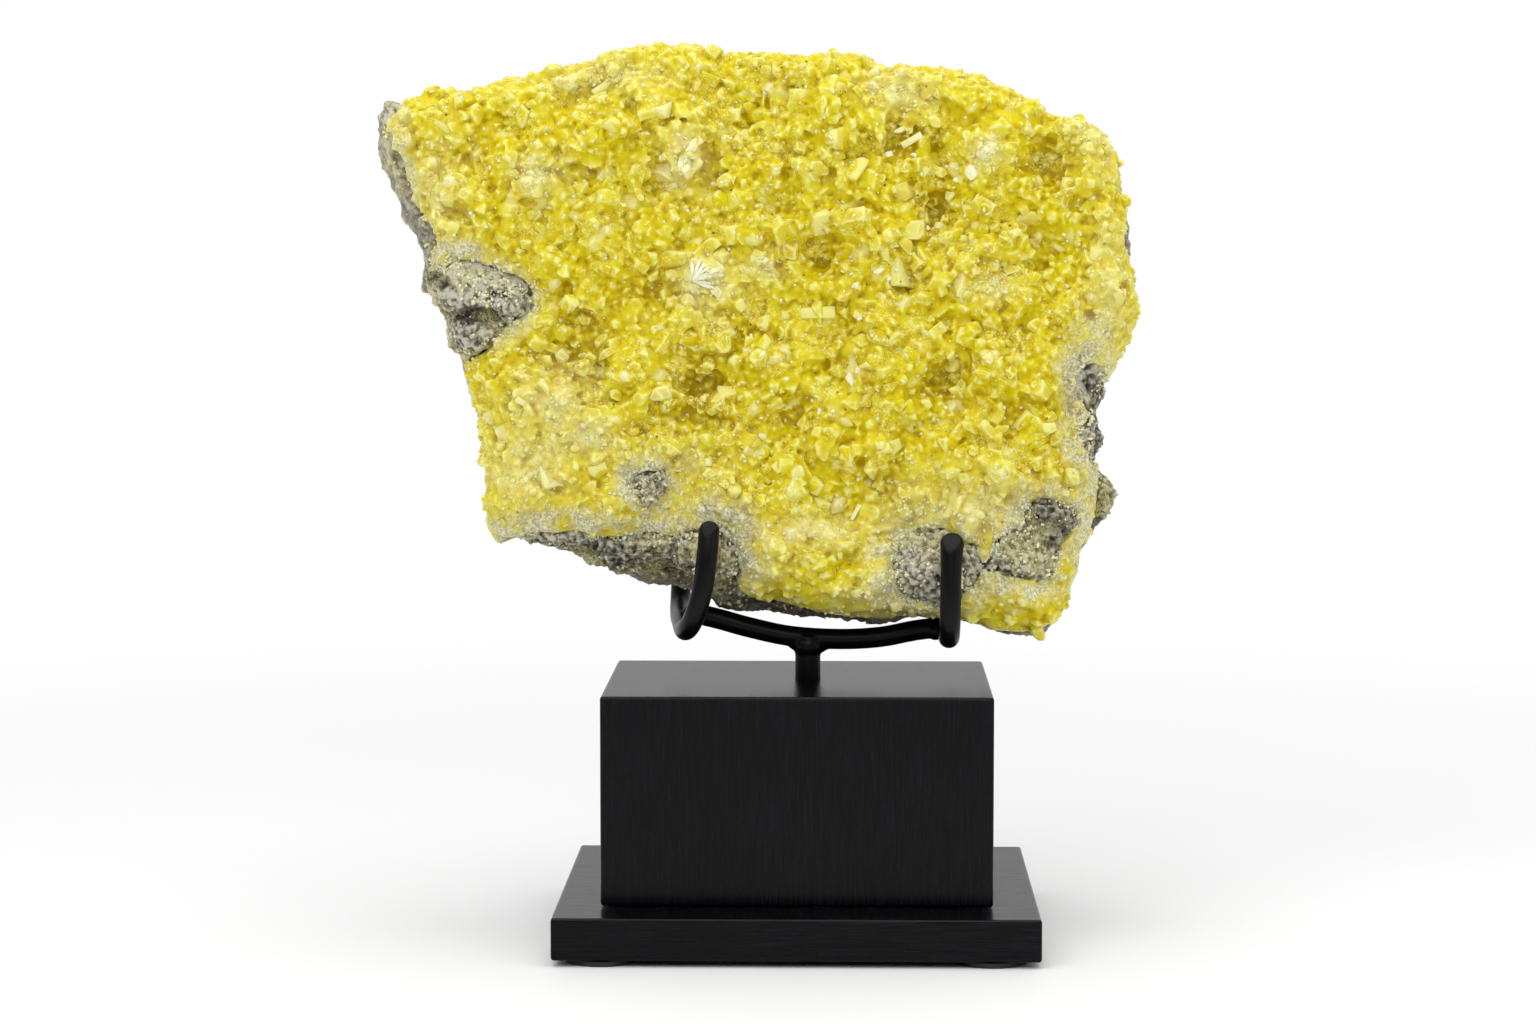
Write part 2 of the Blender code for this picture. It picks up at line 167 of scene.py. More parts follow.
def sliceOff(shape, place, facing):
    geometry = shape.verts[:] + shape.edges[:] + shape.faces[:]
    cut = bmesh.ops.bisect_plane(shape, geom=geometry, plane_co=place, plane_no=facing, clear_outer=True)
    rim = [e for e in cut["geom_cut"] if isinstance(e, bmesh.types.BMEdge)]
    if rim:
        bmesh.ops.edgeloop_fill(shape, edges=rim)


def meshFrom(name, points, faces):
    mesh = bpy.data.meshes.new(name)
    mesh.vertices.add(len(points))
    mesh.loops.add(faces.size)
    mesh.polygons.add(len(faces))
    mesh.vertices.foreach_set("co", np.asarray(points, np.float32).ravel())
    mesh.loops.foreach_set("vertex_index", faces.astype(np.int32).ravel())
    mesh.polygons.foreach_set("loop_start", np.arange(0, faces.size, 3, dtype=np.int32))
    mesh.update(calc_edges=True)
    return mesh


def decimated(mesh, ratio, guarded=None):
    obj = workObject(mesh)
    fewer = obj.modifiers.new("fewer faces", "DECIMATE")
    fewer.ratio = ratio
    if guarded is not None:
        group = obj.vertex_groups.new(name="guarded")
        group.add([int(i) for i in guarded], 1.0, "REPLACE")
        fewer.vertex_group = "guarded"
        fewer.invert_vertex_group = True
        fewer.vertex_group_factor = 1.0
    return settle(obj)


def paintLook(mesh, values):
    layer = mesh.attributes.new("look", "FLOAT_COLOR", "POINT")
    layer.data.foreach_set("color", np.asarray(values, np.float32).ravel())


def newMaterial(name):
    material = bpy.data.materials.new(name)
    material.use_nodes = True
    tree = material.node_tree
    return material, tree, tree.nodes["Principled BSDF"]


def addNode(tree, kind, **settings):
    node = tree.nodes.new(kind)
    for key, value in settings.items():
        setattr(node, key, value)
    return node


def setInputs(node, values):
    for socket, value in values.items():
        node.inputs[socket].default_value = value


def link(tree, source, socketOut, target, socketIn):
    tree.links.new(source.outputs[socketOut], target.inputs[socketIn])


def ramp(tree, factor, stops):
    node = tree.nodes.new("ShaderNodeValToRGB")
    elements = node.color_ramp.elements
    while len(elements) < len(stops):
        elements.new(0.5)
    for element, (position, colour) in zip(elements, stops):
        element.position = position
        element.color = (*colour, 1)
    tree.links.new(factor, node.inputs["Fac"])
    return node.outputs["Color"]


def greyRamp(tree, factor, low, high, first=0, last=1):
    return ramp(tree, factor, [(low, (first,) * 3), (high, (last,) * 3)])


def mapRange(tree, value, span, kind="LINEAR"):
    node = addNode(tree, "ShaderNodeMapRange", interpolation_type=kind)
    setInputs(node, dict(zip(("From Min", "From Max", "To Min", "To Max"), span)))
    tree.links.new(value, node.inputs["Value"])
    return node.outputs["Result"]


def mixColour(tree, factor, a, b, blend="MIX"):
    node = tree.nodes.new("ShaderNodeMix")
    node.data_type = "RGBA"
    node.blend_type = blend
    if isinstance(factor, (int, float)):
        node.inputs[0].default_value = factor
    else:
        tree.links.new(factor, node.inputs[0])
    for socket, value in ((node.inputs[6], a), (node.inputs[7], b)):
        if isinstance(value, tuple):
            socket.default_value = (*value, 1)
        else:
            tree.links.new(value, socket)
    return node.outputs[2]


def maths(tree, operation, a, b=0.0):
    node = tree.nodes.new("ShaderNodeMath")
    node.operation = operation
    for socket, value in zip(node.inputs, (a, b)):
        if isinstance(value, (int, float)):
            socket.default_value = value
        else:
            tree.links.new(value, socket)
    return node.outputs[0]


def noiseTexture(tree, scale, detail=3.0, roughness=0.5, stretch=None, distortion=0.0):
    place = tree.nodes.new("ShaderNodeTexCoord")
    texture = tree.nodes.new("ShaderNodeTexNoise")
    setInputs(texture, {"Scale": scale, "Detail": detail, "Roughness": roughness, "Distortion": distortion})
    if stretch:
        mapping = tree.nodes.new("ShaderNodeMapping")
        mapping.inputs["Scale"].default_value = stretch
        link(tree, place, "Object", mapping, "Vector")
        link(tree, mapping, "Vector", texture, "Vector")
    else:
        link(tree, place, "Object", texture, "Vector")
    return texture.outputs["Fac"]


def addBump(tree, shader, height, strength, distance):
    bump = tree.nodes.new("ShaderNodeBump")
    setInputs(bump, {"Strength": strength, "Distance": distance})
    tree.links.new(height, bump.inputs["Height"])
    link(tree, bump, "Normal", shader, "Normal")


camera = {
    "place": (0.0218, -0.9315, 0.1893),
    "pitchDown": math.radians(4.731),
    "turnLeft": math.radians(1.155),
    "lens": 82.04,
    "sensor": 36,
}


def makeCamera():
    data = bpy.data.cameras.new("camera")
    data.sensor_width = camera["sensor"]
    data.lens = camera["lens"]
    data.clip_start = 0.01
    obj = bpy.data.objects.new("camera", data)
    obj.location = camera["place"]
    obj.rotation_euler = (math.pi / 2 - camera["pitchDown"], 0, camera["turnLeft"])
    bpy.context.scene.collection.objects.link(obj)
    bpy.context.scene.camera = obj


studio = {
    "floorReach": 30.0,
    "floorColour": (0.90, 0.90, 0.90),
    "plainFloor": (0.20, 0.70),
    "plainFloorLight": 1.0,
    "backdrop": 1.0,
    # the room's light from front to back and from level to straight up: where it starts and ends, how strong
    "depthLight": (-0.75, 0.45, 0.10, 0.95),
    "heightLight": (0.35, 0.9, 0.0, 1.0),
    # name: place, aim, width, height, watts
    "lamps": {
        "keyLeft": ((-0.70, -0.80, 0.95), (0, 0, 0.14), 0.7, 0.7, 4.6),
        "fillRight": ((0.95, -0.60, 0.60), (0, 0, 0.14), 0.6, 0.8, 2.2),
        "front": ((0.10, -1.25, 0.80), (0, 0, 0.16), 1.0, 0.6, 4.2),
        "top": ((0.05, -0.05, 1.25), (0, 0, 0.1), 1.0, 0.8, 5.4),
    },
}


def makeFloor():
    shape = bmesh.new()
    bmesh.ops.create_grid(shape, x_segments=1, y_segments=1, size=studio["floorReach"])
    mesh = meshOf(shape, "floor")
    floor = bpy.data.objects.new("floor", mesh)
    bpy.context.scene.collection.objects.link(floor)
    material, tree, shader = newMaterial("floorWhite")
    white = (*studio["floorColour"], 1)
    setInputs(shader, {"Base Color": white, "Roughness": 0.6, "Specular IOR Level": 0.2})
    # far from the object the floor turns evenly bright, so that it has no horizon
    glow = tree.nodes.new("ShaderNodeEmission")
    glow.inputs["Strength"].default_value = studio["plainFloorLight"]
    place = tree.nodes.new("ShaderNodeTexCoord")
    reach = addNode(tree, "ShaderNodeVectorMath", operation="LENGTH")
    link(tree, place, "Object", reach, 0)
    blend = tree.nodes.new("ShaderNodeMixShader")
    share = mapRange(tree, reach.outputs["Value"], studio["plainFloor"], "SMOOTHSTEP")
    tree.links.new(share, blend.inputs[0])
    link(tree, shader, "BSDF", blend, 1)
    link(tree, glow, "Emission", blend, 2)
    link(tree, blend, "Shader", tree.nodes["Material Output"], "Surface")
    mesh.materials.append(material)


def makeLamps():
    for name, (place, aim, width, height, watts) in studio["lamps"].items():
        data = bpy.data.lights.new(name, "AREA")
        data.shape = "RECTANGLE"
        data.size = width
        data.size_y = height
        data.energy = watts
        lamp = bpy.data.objects.new(name, data)
        lamp.location = place
        lamp.rotation_euler = (Vector(aim) - Vector(place)).to_track_quat("-Z", "Y").to_euler()
        bpy.context.scene.collection.objects.link(lamp)


def makeWorld():
    world = bpy.data.worlds.new("studio")
    world.use_nodes = True
    tree = world.node_tree
    even = tree.nodes["Background"]
    setInputs(even, {"Strength": studio["backdrop"], "Color": (1, 1, 1, 1)})
    # the room's light: dark behind the camera, bright behind the object and above
    place = tree.nodes.new("ShaderNodeTexCoord")
    split = tree.nodes.new("ShaderNodeSeparateXYZ")
    link(tree, place, "Generated", split, "Vector")
    side = mapRange(tree, split.outputs["Y"], studio["depthLight"], "SMOOTHSTEP")
    above = mapRange(tree, split.outputs["Z"], studio["heightLight"], "SMOOTHSTEP")
    amount = maths(tree, "MAXIMUM", side, above)
    room = tree.nodes.new("ShaderNodeBackground")
    tree.links.new(amount, room.inputs["Strength"])
    path = tree.nodes.new("ShaderNodeLightPath")
    blend = tree.nodes.new("ShaderNodeMixShader")
    link(tree, path, "Is Camera Ray", blend, 0)
    link(tree, room, "Background", blend, 1)
    link(tree, even, "Background", blend, 2)
    link(tree, blend, "Shader", tree.nodes["World Output"], "Surface")
    bpy.context.scene.world = world
    bpy.context.scene.view_settings.view_transform = "Standard"


# Wood, rubber and steel finishes

wood = {
    "dark": (0.0006, 0.0006, 0.0013),
    "pale": (0.0130, 0.0125, 0.0165),
    "roughness": 0.20,
    "shine": 0.13,
    "blockGrain": (1500, 1500, 70),
    "plinthGrain": (70, 900, 1500),
}


def makeWood(name, grain, strength):
    material, tree, shader = newMaterial(name)
    streaks = noiseTexture(tree, 1.0, 5.0, 0.62, grain, 0.4)
    pores = noiseTexture(tree, 1.0, 3.0, 0.7, tuple(2.3 * g for g in grain))
    cloud = noiseTexture(tree, 22.0, 3.0, 0.55)
    streakShare = greyRamp(tree, streaks, 0.42, 0.74)
    poreShare = greyRamp(tree, pores, 0.55, 0.70)
    amount = maths(tree, "MULTIPLY", streakShare, maths(tree, "ADD", cloud, -0.1))
    amount = maths(tree, "ADD", amount, maths(tree, "MULTIPLY", poreShare, 0.3))
    colour = mixColour(tree, amount, wood["dark"], wood["pale"])
    tree.links.new(colour, shader.inputs["Base Color"])
    rough = maths(tree, "ADD", maths(tree, "MULTIPLY", streaks, 0.16), wood["roughness"] - 0.06)
    tree.links.new(rough, shader.inputs["Roughness"])
    shader.inputs["Specular IOR Level"].default_value = wood["shine"]
    addBump(tree, shader, streaks, strength, 0.0003)
    return material


def makeRubber():
    material, tree, shader = newMaterial("footRubber")
    speckle = noiseTexture(tree, 1800.0, 2.0)
    tree.links.new(greyRamp(tree, speckle, 0.3, 0.7, 0.010, 0.022), shader.inputs["Base Color"])
    shader.inputs["Roughness"].default_value = 0.75
    addBump(tree, shader, speckle, 0.3, 0.0002)
    return material


def makeSteel():
    material, tree, shader = newMaterial("blackSteel")
    mottle = noiseTexture(tree, 160.0, 4.0, 0.6)
    fine = noiseTexture(tree, 2600.0, 2.0)
    colour = ramp(tree, mottle, [(0.35, (0.0012, 0.0012, 0.0014)), (0.7, (0.0028, 0.0028, 0.0031))])
    tree.links.new(colour, shader.inputs["Base Color"])
    rough = maths(tree, "ADD", maths(tree, "MULTIPLY", mottle, 0.14), 0.27)
    tree.links.new(rough, shader.inputs["Roughness"])
    shader.inputs["Specular IOR Level"].default_value = 0.16
    addBump(tree, shader, fine, 0.12, 0.0001)
    return material


def dress(node, material):
    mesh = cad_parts[node].data
    mesh.materials.clear()
    mesh.materials.append(material)


def dressBase():
    dress("block", makeWood("blackWoodBlock", wood["blockGrain"], 0.3))
    dress("plinth", makeWood("blackWoodPlinth", wood["plinthGrain"], 0.3))
    rubber = makeRubber()
    for corner in ("front_left", "front_right", "back_left", "back_right"):
        dress("foot_" + corner, rubber)


# The steel cradle

rods = {
    "radius": 2.78,
    "voxel": 0.0004,
    "smoothing": 3,
    # the prongs' domed tips: middle, radius, way the ground face looks, its distance from there, widening
    "tips": {
        "leftHook": ((-11.7, -27.4, 109.4), 2.78, (0.06, -0.80, 0.60), 1.9, 1.0),
        "rightHook": ((51.3, -27.4, 106.1), 3.15, (-0.10, -0.74, 0.67), 1.6, 1.12),
    },
    # routes in millimetres, tip of the prong first, as in the CAD model
    "crossbar": [
        (-17.6, 0, 85.2), (-10, 0, 83.4), (-2, 0, 81.2), (9, 0, 78.9), (22, 0, 78.1), (33, 0, 78.7),
        (42.5, 0, 80.5), (51, 0, 81.6),
    ],
    "leftHook": [
        (-11.7, -27.4, 109.6), (-12.2, -28.7, 103), (-13.5, -29.2, 93.9), (-15.8, -27.4, 86.6),
        (-18.1, -21, 82.9), (-19.9, -2, 82.8), (-21.3, 17, 83.2), (-21.5, 25, 87.2), (-21.2, 28, 97),
        (-20.8, 29.4, 112), (-20.4, 31.2, 132), (-20, 31.8, 146),
    ],
    "rightHook": [
        (51.3, -27.4, 106.3), (51, -28.8, 99), (50.9, -29.2, 90.8), (50.8, -27.4, 84.0), (50.8, -20, 80.9),
        (51.2, -2, 81.2), (51.6, 17, 81.4), (51.8, 25, 85.4), (51.8, 28, 95), (51.4, 29.4, 110),
        (51, 31.2, 130), (50.6, 31.8, 144),
    ],
}
stem = {"x": 13.7, "radius": 3.42, "bottom": 41.0, "top": 79.0}
# weld beads: place in millimetres and radius
welds = [
    ((13.7, 0, 76.2), 3.9), ((10.6, 0, 77.6), 2.6), ((16.9, 0, 77.0), 2.6), ((-17.0, 0, 84.8), 2.9),
    ((49.2, 0, 81.2), 3.0), ((47.8, -0.6, 80.6), 2.7),
]


def smoothRoute(points, step):
    points = [Vector(p) for p in points]
    padded = [2 * points[0] - points[1], *points, 2 * points[-1] - points[-2]]
    made = []
    for a, b, c, d in zip(padded, padded[1:], padded[2:], padded[3:]):
        count = max(1, round((c - b).length / step))
        for i in range(count):
            t = i / count
            curved = (2 * a - 5 * b + 4 * c - d) * t * t
            made.append(0.5 * (2 * b + (c - a) * t + curved + (3 * b - a - 3 * c + d) * t**3))
    return [*made, points[-1]]


def rodMesh(route, radius, widening=1.0):
    curve = bpy.data.curves.new("rod", "CURVE")
    curve.dimensions = "3D"
    curve.bevel_depth = radius * mm
    curve.bevel_resolution = 8
    curve.use_fill_caps = True
    points = smoothRoute(route, 1.0)
    spline = curve.splines.new("POLY")
    spline.points.add(len(points) - 1)
    for i, (target, point) in enumerate(zip(spline.points, points)):
        target.co = (*(point * mm), 1)
        target.radius = 1 + (widening - 1) * max(0.0, 1 - i / 6)
    return settle(workObject(curve))


def ballMesh(middle, radius):
    shape = bmesh.new()
    place = Matrix.Translation(Vector(middle) * mm)
    bmesh.ops.create_icosphere(shape, subdivisions=4, radius=radius * mm, matrix=place)
    return meshOf(shape, "ball")


def groundOff(mesh, place, facing):
    shape = bmesh.new()
    shape.from_mesh(mesh)
    bmesh.ops.remove_doubles(shape, verts=shape.verts, dist=1e-6)
    sliceOff(shape, Vector(place) * mm, Vector(facing))
    shape.to_mesh(mesh)
    shape.free()


def makeCradle():
    shape = bmesh.new()
    for name in ("crossbar", "leftHook", "rightHook"):
        if name not in rods["tips"]:
            shape.from_mesh(rodMesh(rods[name], rods["radius"]))
            continue
        middle, radius, facing, away, widening = rods["tips"][name]
        place = Vector(middle) + Vector(facing).normalized() * away
        for part in (rodMesh(rods[name], rods["radius"], widening), ballMesh(middle, radius)):
            groundOff(part, place, facing)
            shape.from_mesh(part)
    post = [(stem["x"], 0, height) for height in (stem["bottom"], 60, stem["top"])]
    shape.from_mesh(rodMesh(post, stem["radius"]))
    for place, radius in welds:
        bmesh.ops.create_icosphere(
            shape, subdivisions=3, radius=radius * mm, matrix=Matrix.Translation(Vector(place) * mm)
        )
    mesh = remeshed(meshOf(shape, "cradle"), rods["voxel"], rods["smoothing"])
    mesh.shade_smooth()
    mesh.materials.clear()
    mesh.materials.append(makeSteel())
    addPiece("steelCradle", mesh, ("crossbar", "left_hook", "right_hook", "stem"))


# The host rock

rock = {
    "voxel": 0.0006,
    "triangles": 135000,
    # how far each kind of relief reaches in mm, and the size of its forms in m
    "ridges": (0.40, 0.0042),
    "crumbs": (0.42, 0.0013),
    "layers": (0.45, 0.0024),
    "heaves": (1.7, 0.013),
    "hiddenUnder": 0.0008,
    "tones": [
        (0.20, (0.028, 0.024, 0.018)), (0.38, (0.14, 0.13, 0.10)), (0.56, (0.36, 0.34, 0.265)),
        (0.76, (0.74, 0.72, 0.59)),
    ],
    "tints": [(0.35, (0.86, 0.86, 0.88)), (0.65, (1.0, 0.96, 0.84))],
    "dust": (0.76, 0.70, 0.30),
}
# darker rock and painted shade in its crevices, hollows and lower strip, or paler rock if negative, in mm on
# the upright slab:
# x, z, half width, half height and strength
rockToneAndPaintedShade = [
    (76, 111, 10, 9, 0.50), (44, 99, 13, 10, -0.30), (10, 86, 40, 6, 0.55), (-40, 98, 26, 5, 0.55),
    (90, 130, 8, 30, 0.30), (-74, 174, 14, 13, -0.75), (-98, 205, 8, 40, -0.45), (70, 100, 10, 8, -0.1),
    (-85, 174, 2.8, 1.6, 2.4), (-81.8, 172, 1.3, 1.3, 1.6), (-73, 163.8, 5.4, 2.0, 2.6),
    (-67, 169.5, 2.8, 1.3, 1.5), (-82, 166, 2.0, 2.0, 0.6), (-70, 175, 8, 4, -0.5),
]


def makeRockMaterial():
    material, tree, shader = newMaterial("hostRock")
    look = addNode(tree, "ShaderNodeAttribute", attribute_name="look")
    split = addNode(tree, "ShaderNodeSeparateColor")
    link(tree, look, "Color", split, "Color")
    height, dust, layered = split.outputs
    lit = look.outputs["Alpha"]
    broad = noiseTexture(tree, 70.0, 5.0, 0.6)
    fine = noiseTexture(tree, 620.0, 5.0, 0.7)
    speck = noiseTexture(tree, 1700.0, 2.0, 0.6)
    beds = noiseTexture(tree, 1.0, 5.0, 0.6, (60, 260, 900), 0.6)
    strength = maths(tree, "ADD", maths(tree, "MULTIPLY", dust, 0.7), 0.6)
    grain = maths(tree, "MULTIPLY", maths(tree, "SUBTRACT", fine, 0.5), strength)
    # height brings painted shade into the hollows and painted light onto the crests; grain adds the rock's
    # own texture
    mixed = maths(tree, "ADD", maths(tree, "MULTIPLY", height, 0.52), maths(tree, "ADD", grain, 0.25))
    streaked = maths(tree, "MULTIPLY", maths(tree, "SUBTRACT", beds, 0.5), layered)
    mixed = maths(tree, "ADD", mixed, maths(tree, "MULTIPLY", streaked, 0.9))
    # lit darkens the colour with painted shade in crevices, hollows and along the bottom, and with the rock's
    # own darker patches
    mixed = maths(tree, "ADD", mixed, maths(tree, "MULTIPLY", maths(tree, "SUBTRACT", lit, 1.0), 0.36))
    warm = ramp(tree, broad, rock["tints"])
    colour = mixColour(tree, 1.0, ramp(tree, mixed, rock["tones"]), warm, "MULTIPLY")
    dusting = maths(tree, "MULTIPLY", dust, greyRamp(tree, broad, 0.47, 0.60))
    dusting = maths(tree, "MULTIPLY", dusting, greyRamp(tree, speck, 0.42, 0.58, 0.25))
    colour = mixColour(tree, maths(tree, "MULTIPLY", dusting, 0.65), colour, rock["dust"])
    tree.links.new(colour, shader.inputs["Base Color"])
    setInputs(shader, {"Roughness": 0.85, "Specular IOR Level": 0.3})
    bumps = maths(tree, "ADD", fine, maths(tree, "MULTIPLY", speck, 0.4))
    addBump(tree, shader, bumps, 0.9, 0.0012)
    return material


def makeRock():
    mesh = remeshed(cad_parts["host_rock"].data.copy(), rock["voxel"], 1)
    points, normals = coordinates(mesh), vertexNormals(mesh)
    local = localPlaces(points)
    front = unit((-2.0 - local[:, 1]) / 3.0)
    moved = np.empty(len(points))
    ridges, ridgeSize = rock["ridges"]
    crumbs, crumbSize = rock["crumbs"]
    layers, layerSize = rock["layers"]
    heaves, heaveSize = rock["heaves"]
    for i, (point, bare) in enumerate(zip(points, front)):
        p = Vector(point)
        ridge = 1 - 2 * abs(fractal(Vector((p.x * 1.1 + p.z * 0.3, p.y, p.z * 0.7)), ridgeSize, 5, 4))
        crumb = fractal(p, crumbSize, 8, 2)
        layer = fractal(Vector((p.x * 0.22, p.y * 0.5, p.z + p.x * 0.25)), layerSize, 21, 2)
        moved[i] = (1 + bare) * ridges * (ridge - 0.6) + (1 + bare) * crumbs * crumb
        moved[i] += layers * layer * (1 - 0.5 * bare)
        moved[i] += heaves * (fractal(p, heaveSize, 51, 3) - 0.3) * (1 - bare)
    before = points
    points = points + normals * (moved * mm)[:, None] + outlineShift(local, outlineShifts + rockShifts)
    setCoordinates(mesh, points)
    cover = treeOf(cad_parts["sulfur_crystals"].data)
    shown = np.nonzero((local[:, 1] < 2.0) | (local[:, 2] < 100))[0]
    guarded = [i for i in shown if cover.find_nearest(before[i], rock["hiddenUnder"])[0] is None]
    say(f"rock: {len(guarded)} of {len(points)} points are in view")
    count = len(meshTriangles(mesh))
    if count > rock["triangles"]:
        mesh = decimated(mesh, rock["triangles"] / count, guarded)
    points, sharp, broad = standOut(mesh, 3, 12)
    local = localPlaces(points)
    front = unit(-local[:, 1] / 6.0)
    # hollows and creases darker and crests paler: painted shade and light taken from the relief
    height = unit(0.5 + (0.7 * broad + 1.3 * sharp) * (0.4 + 0.6 * front))
    layered = unit((-18 - local[:, 0]) / 10) * unit((112 - local[:, 2]) / 6)
    # lit: painted shade in crevices, hollows and along the bottom, together with the rock's own darker and
    # paler patches
    lit = np.clip(1 - spotSum(local, rockToneAndPaintedShade) * unit((3 - local[:, 1]) / 6), 0, 1.7)
    paintLook(mesh, np.column_stack([height, front, layered, lit]))
    mesh.materials.clear()
    mesh.materials.append(makeRockMaterial())
    mesh.shade_smooth()
    addPiece("rock", mesh, ("host_rock",))
    say(f"rock: {len(meshTriangles(mesh))} triangles")
    return mesh


# The crust of crystals

sulfur = {
    "bedVoxel": 0.0012,
    "bedSmoothing": 10,
    "crustVoxel": 0.0005,
    "crustTriangles": 380000,
    "crustRoughness": 0.25,
    # the lower edge is drawn down: x where it starts, is full and ends, the height and fading, and how far
    "lowerEdge": (-23, -5, 42, 112, 14, 4.4),
    "hiddenUnder": 0.0022,
    "glow": 0.35,
    "seed": 5,
    "seeds": {"shapes": 9, "crust": 11, "largeCrystals": 21, "smallCrystals": 22, "chips": 23, "sugar": 24},
    "tones": [
        (0.0, (0.43, 0.30, 0.002)), (0.20, (0.62, 0.475, 0.002)), (0.42, (0.695, 0.580, 0.003)),
        (0.70, (0.730, 0.640, 0.004)), (1.0, (0.765, 0.715, 0.02)),
    ],
    "greyTones": [(0.38, (0.36, 0.34, 0.21)), (0.60, (0.80, 0.78, 0.58))],
    "edgeHighlightColour": (0.86, 0.83, 0.30),
    "frostColour": (0.90, 0.87, 0.42),
    "paleColour": (0.93, 0.92, 0.70),
    "pinholeShadeColour": (0.14, 0.09, 0.008),
    # half widths in mm, how many, and how close they stand as a share of their widths
    "kinds": {
        "large": {"half": (2.4, 3.6), "count": 120, "room": 0.85},
        "medium": {"half": (1.5, 2.7), "count": 1600, "room": 0.55},
        "small": {"half": (0.8, 1.4), "count": 5200, "room": 0.52},
    },
    # tiny crystals painted near-white as glints
    "chips": {"half": (0.15, 0.50), "count": 1700},
    "sugar": {"half": (0.22, 0.50), "count": 4200, "reach": 0.0036, "inward": 0.0045},
}

# Everything below is in mm on the upright slab: x, z, half width, half height and strength.
hollowSpots = [
    (-71.7, 208.4, 7, 6, -2.0), (-47.3, 221.5, 8, 5, -1.5), (-6.7, 224, 8, 6, -2.0),
    (2.5, 214.4, 8, 6, -2.0), (39.1, 211, 8, 7, -2.0), (48.2, 190.1, 7, 8, -2.5), (76.9, 203.1, 8, 7, -2.5),
    (-11.9, 200.5, 7, 6, -2.0), (-26.3, 197.9, 7, 7, -1.5), (5.1, 195.3, 7, 6, -1.5),
    (19.5, 178.3, 9, 7, -1.1), (42.3, 174.4, 7, 6, -1.1), (-26.3, 170.4, 8, 6, -2.0),
    (-44.6, 154.7, 7, 12, -2.0), (-30.2, 139, 8, 5, -1.5), (-14.5, 144.3, 7, 7, -3.5),
    (20.9, 152.2, 7, 6, -2.0), (7.8, 137.8, 7, 6, -2.0), (50.2, 145.6, 8, 8, -1.4),
    (65.3, 137.8, 7, 6, -1.5), (77, 180.9, 7, 8, -2.0), (84.9, 144.4, 5, 12, -2.0),
    (28.8, 122.1, 7, 6, -1.5), (24.9, 111.6, 8, 5, -1.5), (37.9, 107.7, 8, 5, -1.5),
    (-27.6, 116.8, 7, 6, -1.5),
]
bossSpots = [
    (-13.2, 173.1, 8, 7, 1.5), (60, 203.1, 8, 8, 2.0), (62.7, 149.6, 8, 9, 2.0), (-28.9, 148.2, 7, 7, 1.5),
    (-53.8, 141.6, 9, 8, 2.0), (53.5, 174.4, 8, 7, 1.5), (31.3, 154.8, 7, 7, 1.5), (60.1, 123.4, 9, 8, 2.0),
    (5.2, 150.8, 7, 7, 1.5), (27.3, 190.1, 12, 5, 1.5), (23.4, 213.6, 7, 6, 1.5), (-22.4, 218.8, 8, 6, 1.5),
    (-48.6, 211, 8, 6, 1.5), (-67, 190.1, 8, 7, 1.5), (79.7, 124.8, 7, 8, 1.5), (-53.8, 123.3, 14, 8, 1.5),
    (16.2, 105.8, 10, 5, 1.5), (-78.8, 212.3, 6, 5, 1.5), (-68.3, 205.8, 5, 5, 1.0),
    (-57.8, 199.2, 5, 6, 1.5),
]
paleSpots = [
    (-53, 141.1, 10, 8, 0.55), (-42.8, 131.9, 7, 4, 0.6), (-18.5, 203.9, 5, 7, 0.8),
    (-13.2, 172.5, 7, 6, 0.75), (37.7, 222.7, 8, 5, 0.5), (-56.7, 200.5, 6, 5, 0.5), (60, 206, 4, 4, 0.7),
    (-60, 123, 12, 8, 0.45), (92, 165, 5, 22, 0.35), (-84, 196, 7, 12, 0.3), (60, 112, 12, 9, 0.5),
    (16, 107, 14, 4, 0.5), (90, 210, 7, 8, 0.3), (-40, 226, 16, 4, 0.35), (3, 176, 5, 4, 0.35),
    (62, 172, 6, 5, 0.3), (-5, 93, 10, 9, 0.45), (31, 88, 11, 5, 0.4), (40, 112, 7, 8, 0.3),
    (-20, 124, 12, 6, 0.3), (-72, 173, 6, 4, 0.1), (-79, 177, 4, 3, 0.1), (-64, 169, 4, 4, 0.1),
    (-71, 169, 6, 3, 0.1), (46, 98, 8, 7, 0.1), (70, 100, 8, 6, 0.1),
]
# painted shade in the crust's hollows: darker, deeper yellow there
hollowShadeSpots = [
    (47.2, 192.9, 5, 5, 0.9), (-15.5, 144, 8, 7, 1.1), (-47.8, 151.8, 5, 6, 0.9), (39, 211, 5, 5, 0.6),
    (-26.3, 170.4, 7, 4, 0.7), (19.5, 178.3, 7, 5, 0.45), (42.3, 174.4, 5, 5, 0.45), (-44, 158, 5, 8, 0.6),
    (50.2, 145.6, 6, 6, 0.4), (20.9, 152.2, 5, 5, 0.6), (7.8, 137.8, 6, 5, 0.6), (76.9, 203.1, 5, 5, 0.6),
    (28, 163, 6, 4, 0.5), (-10, 160, 6, 5, 0.5), (33, 121, 6, 6, 0.5), (64, 160, 5, 5, 0.4),
]
# where rock comes through: the crystals round it turn to greyish sugar
rockSpots = [
    (-79, 176, 8, 5, 0.9), (-72, 167, 10, 9, 0.85), (-28.5, 119, 6, 5.5, 0.9), (-51, 106, 17, 5, 0.8),
    (-29, 102, 17, 6, 0.8), (-12, 103, 12, 10, 0.8), (47, 98, 14, 10, 0.85), (70, 100, 12, 8, 0.8),
    (77, 111, 9, 7, 0.9), (87, 148, 5, 12, 0.8), (87, 132, 5, 8, 0.8), (91, 116, 5, 7, 0.7),
    (-94, 196, 3, 16, 0.6),
]
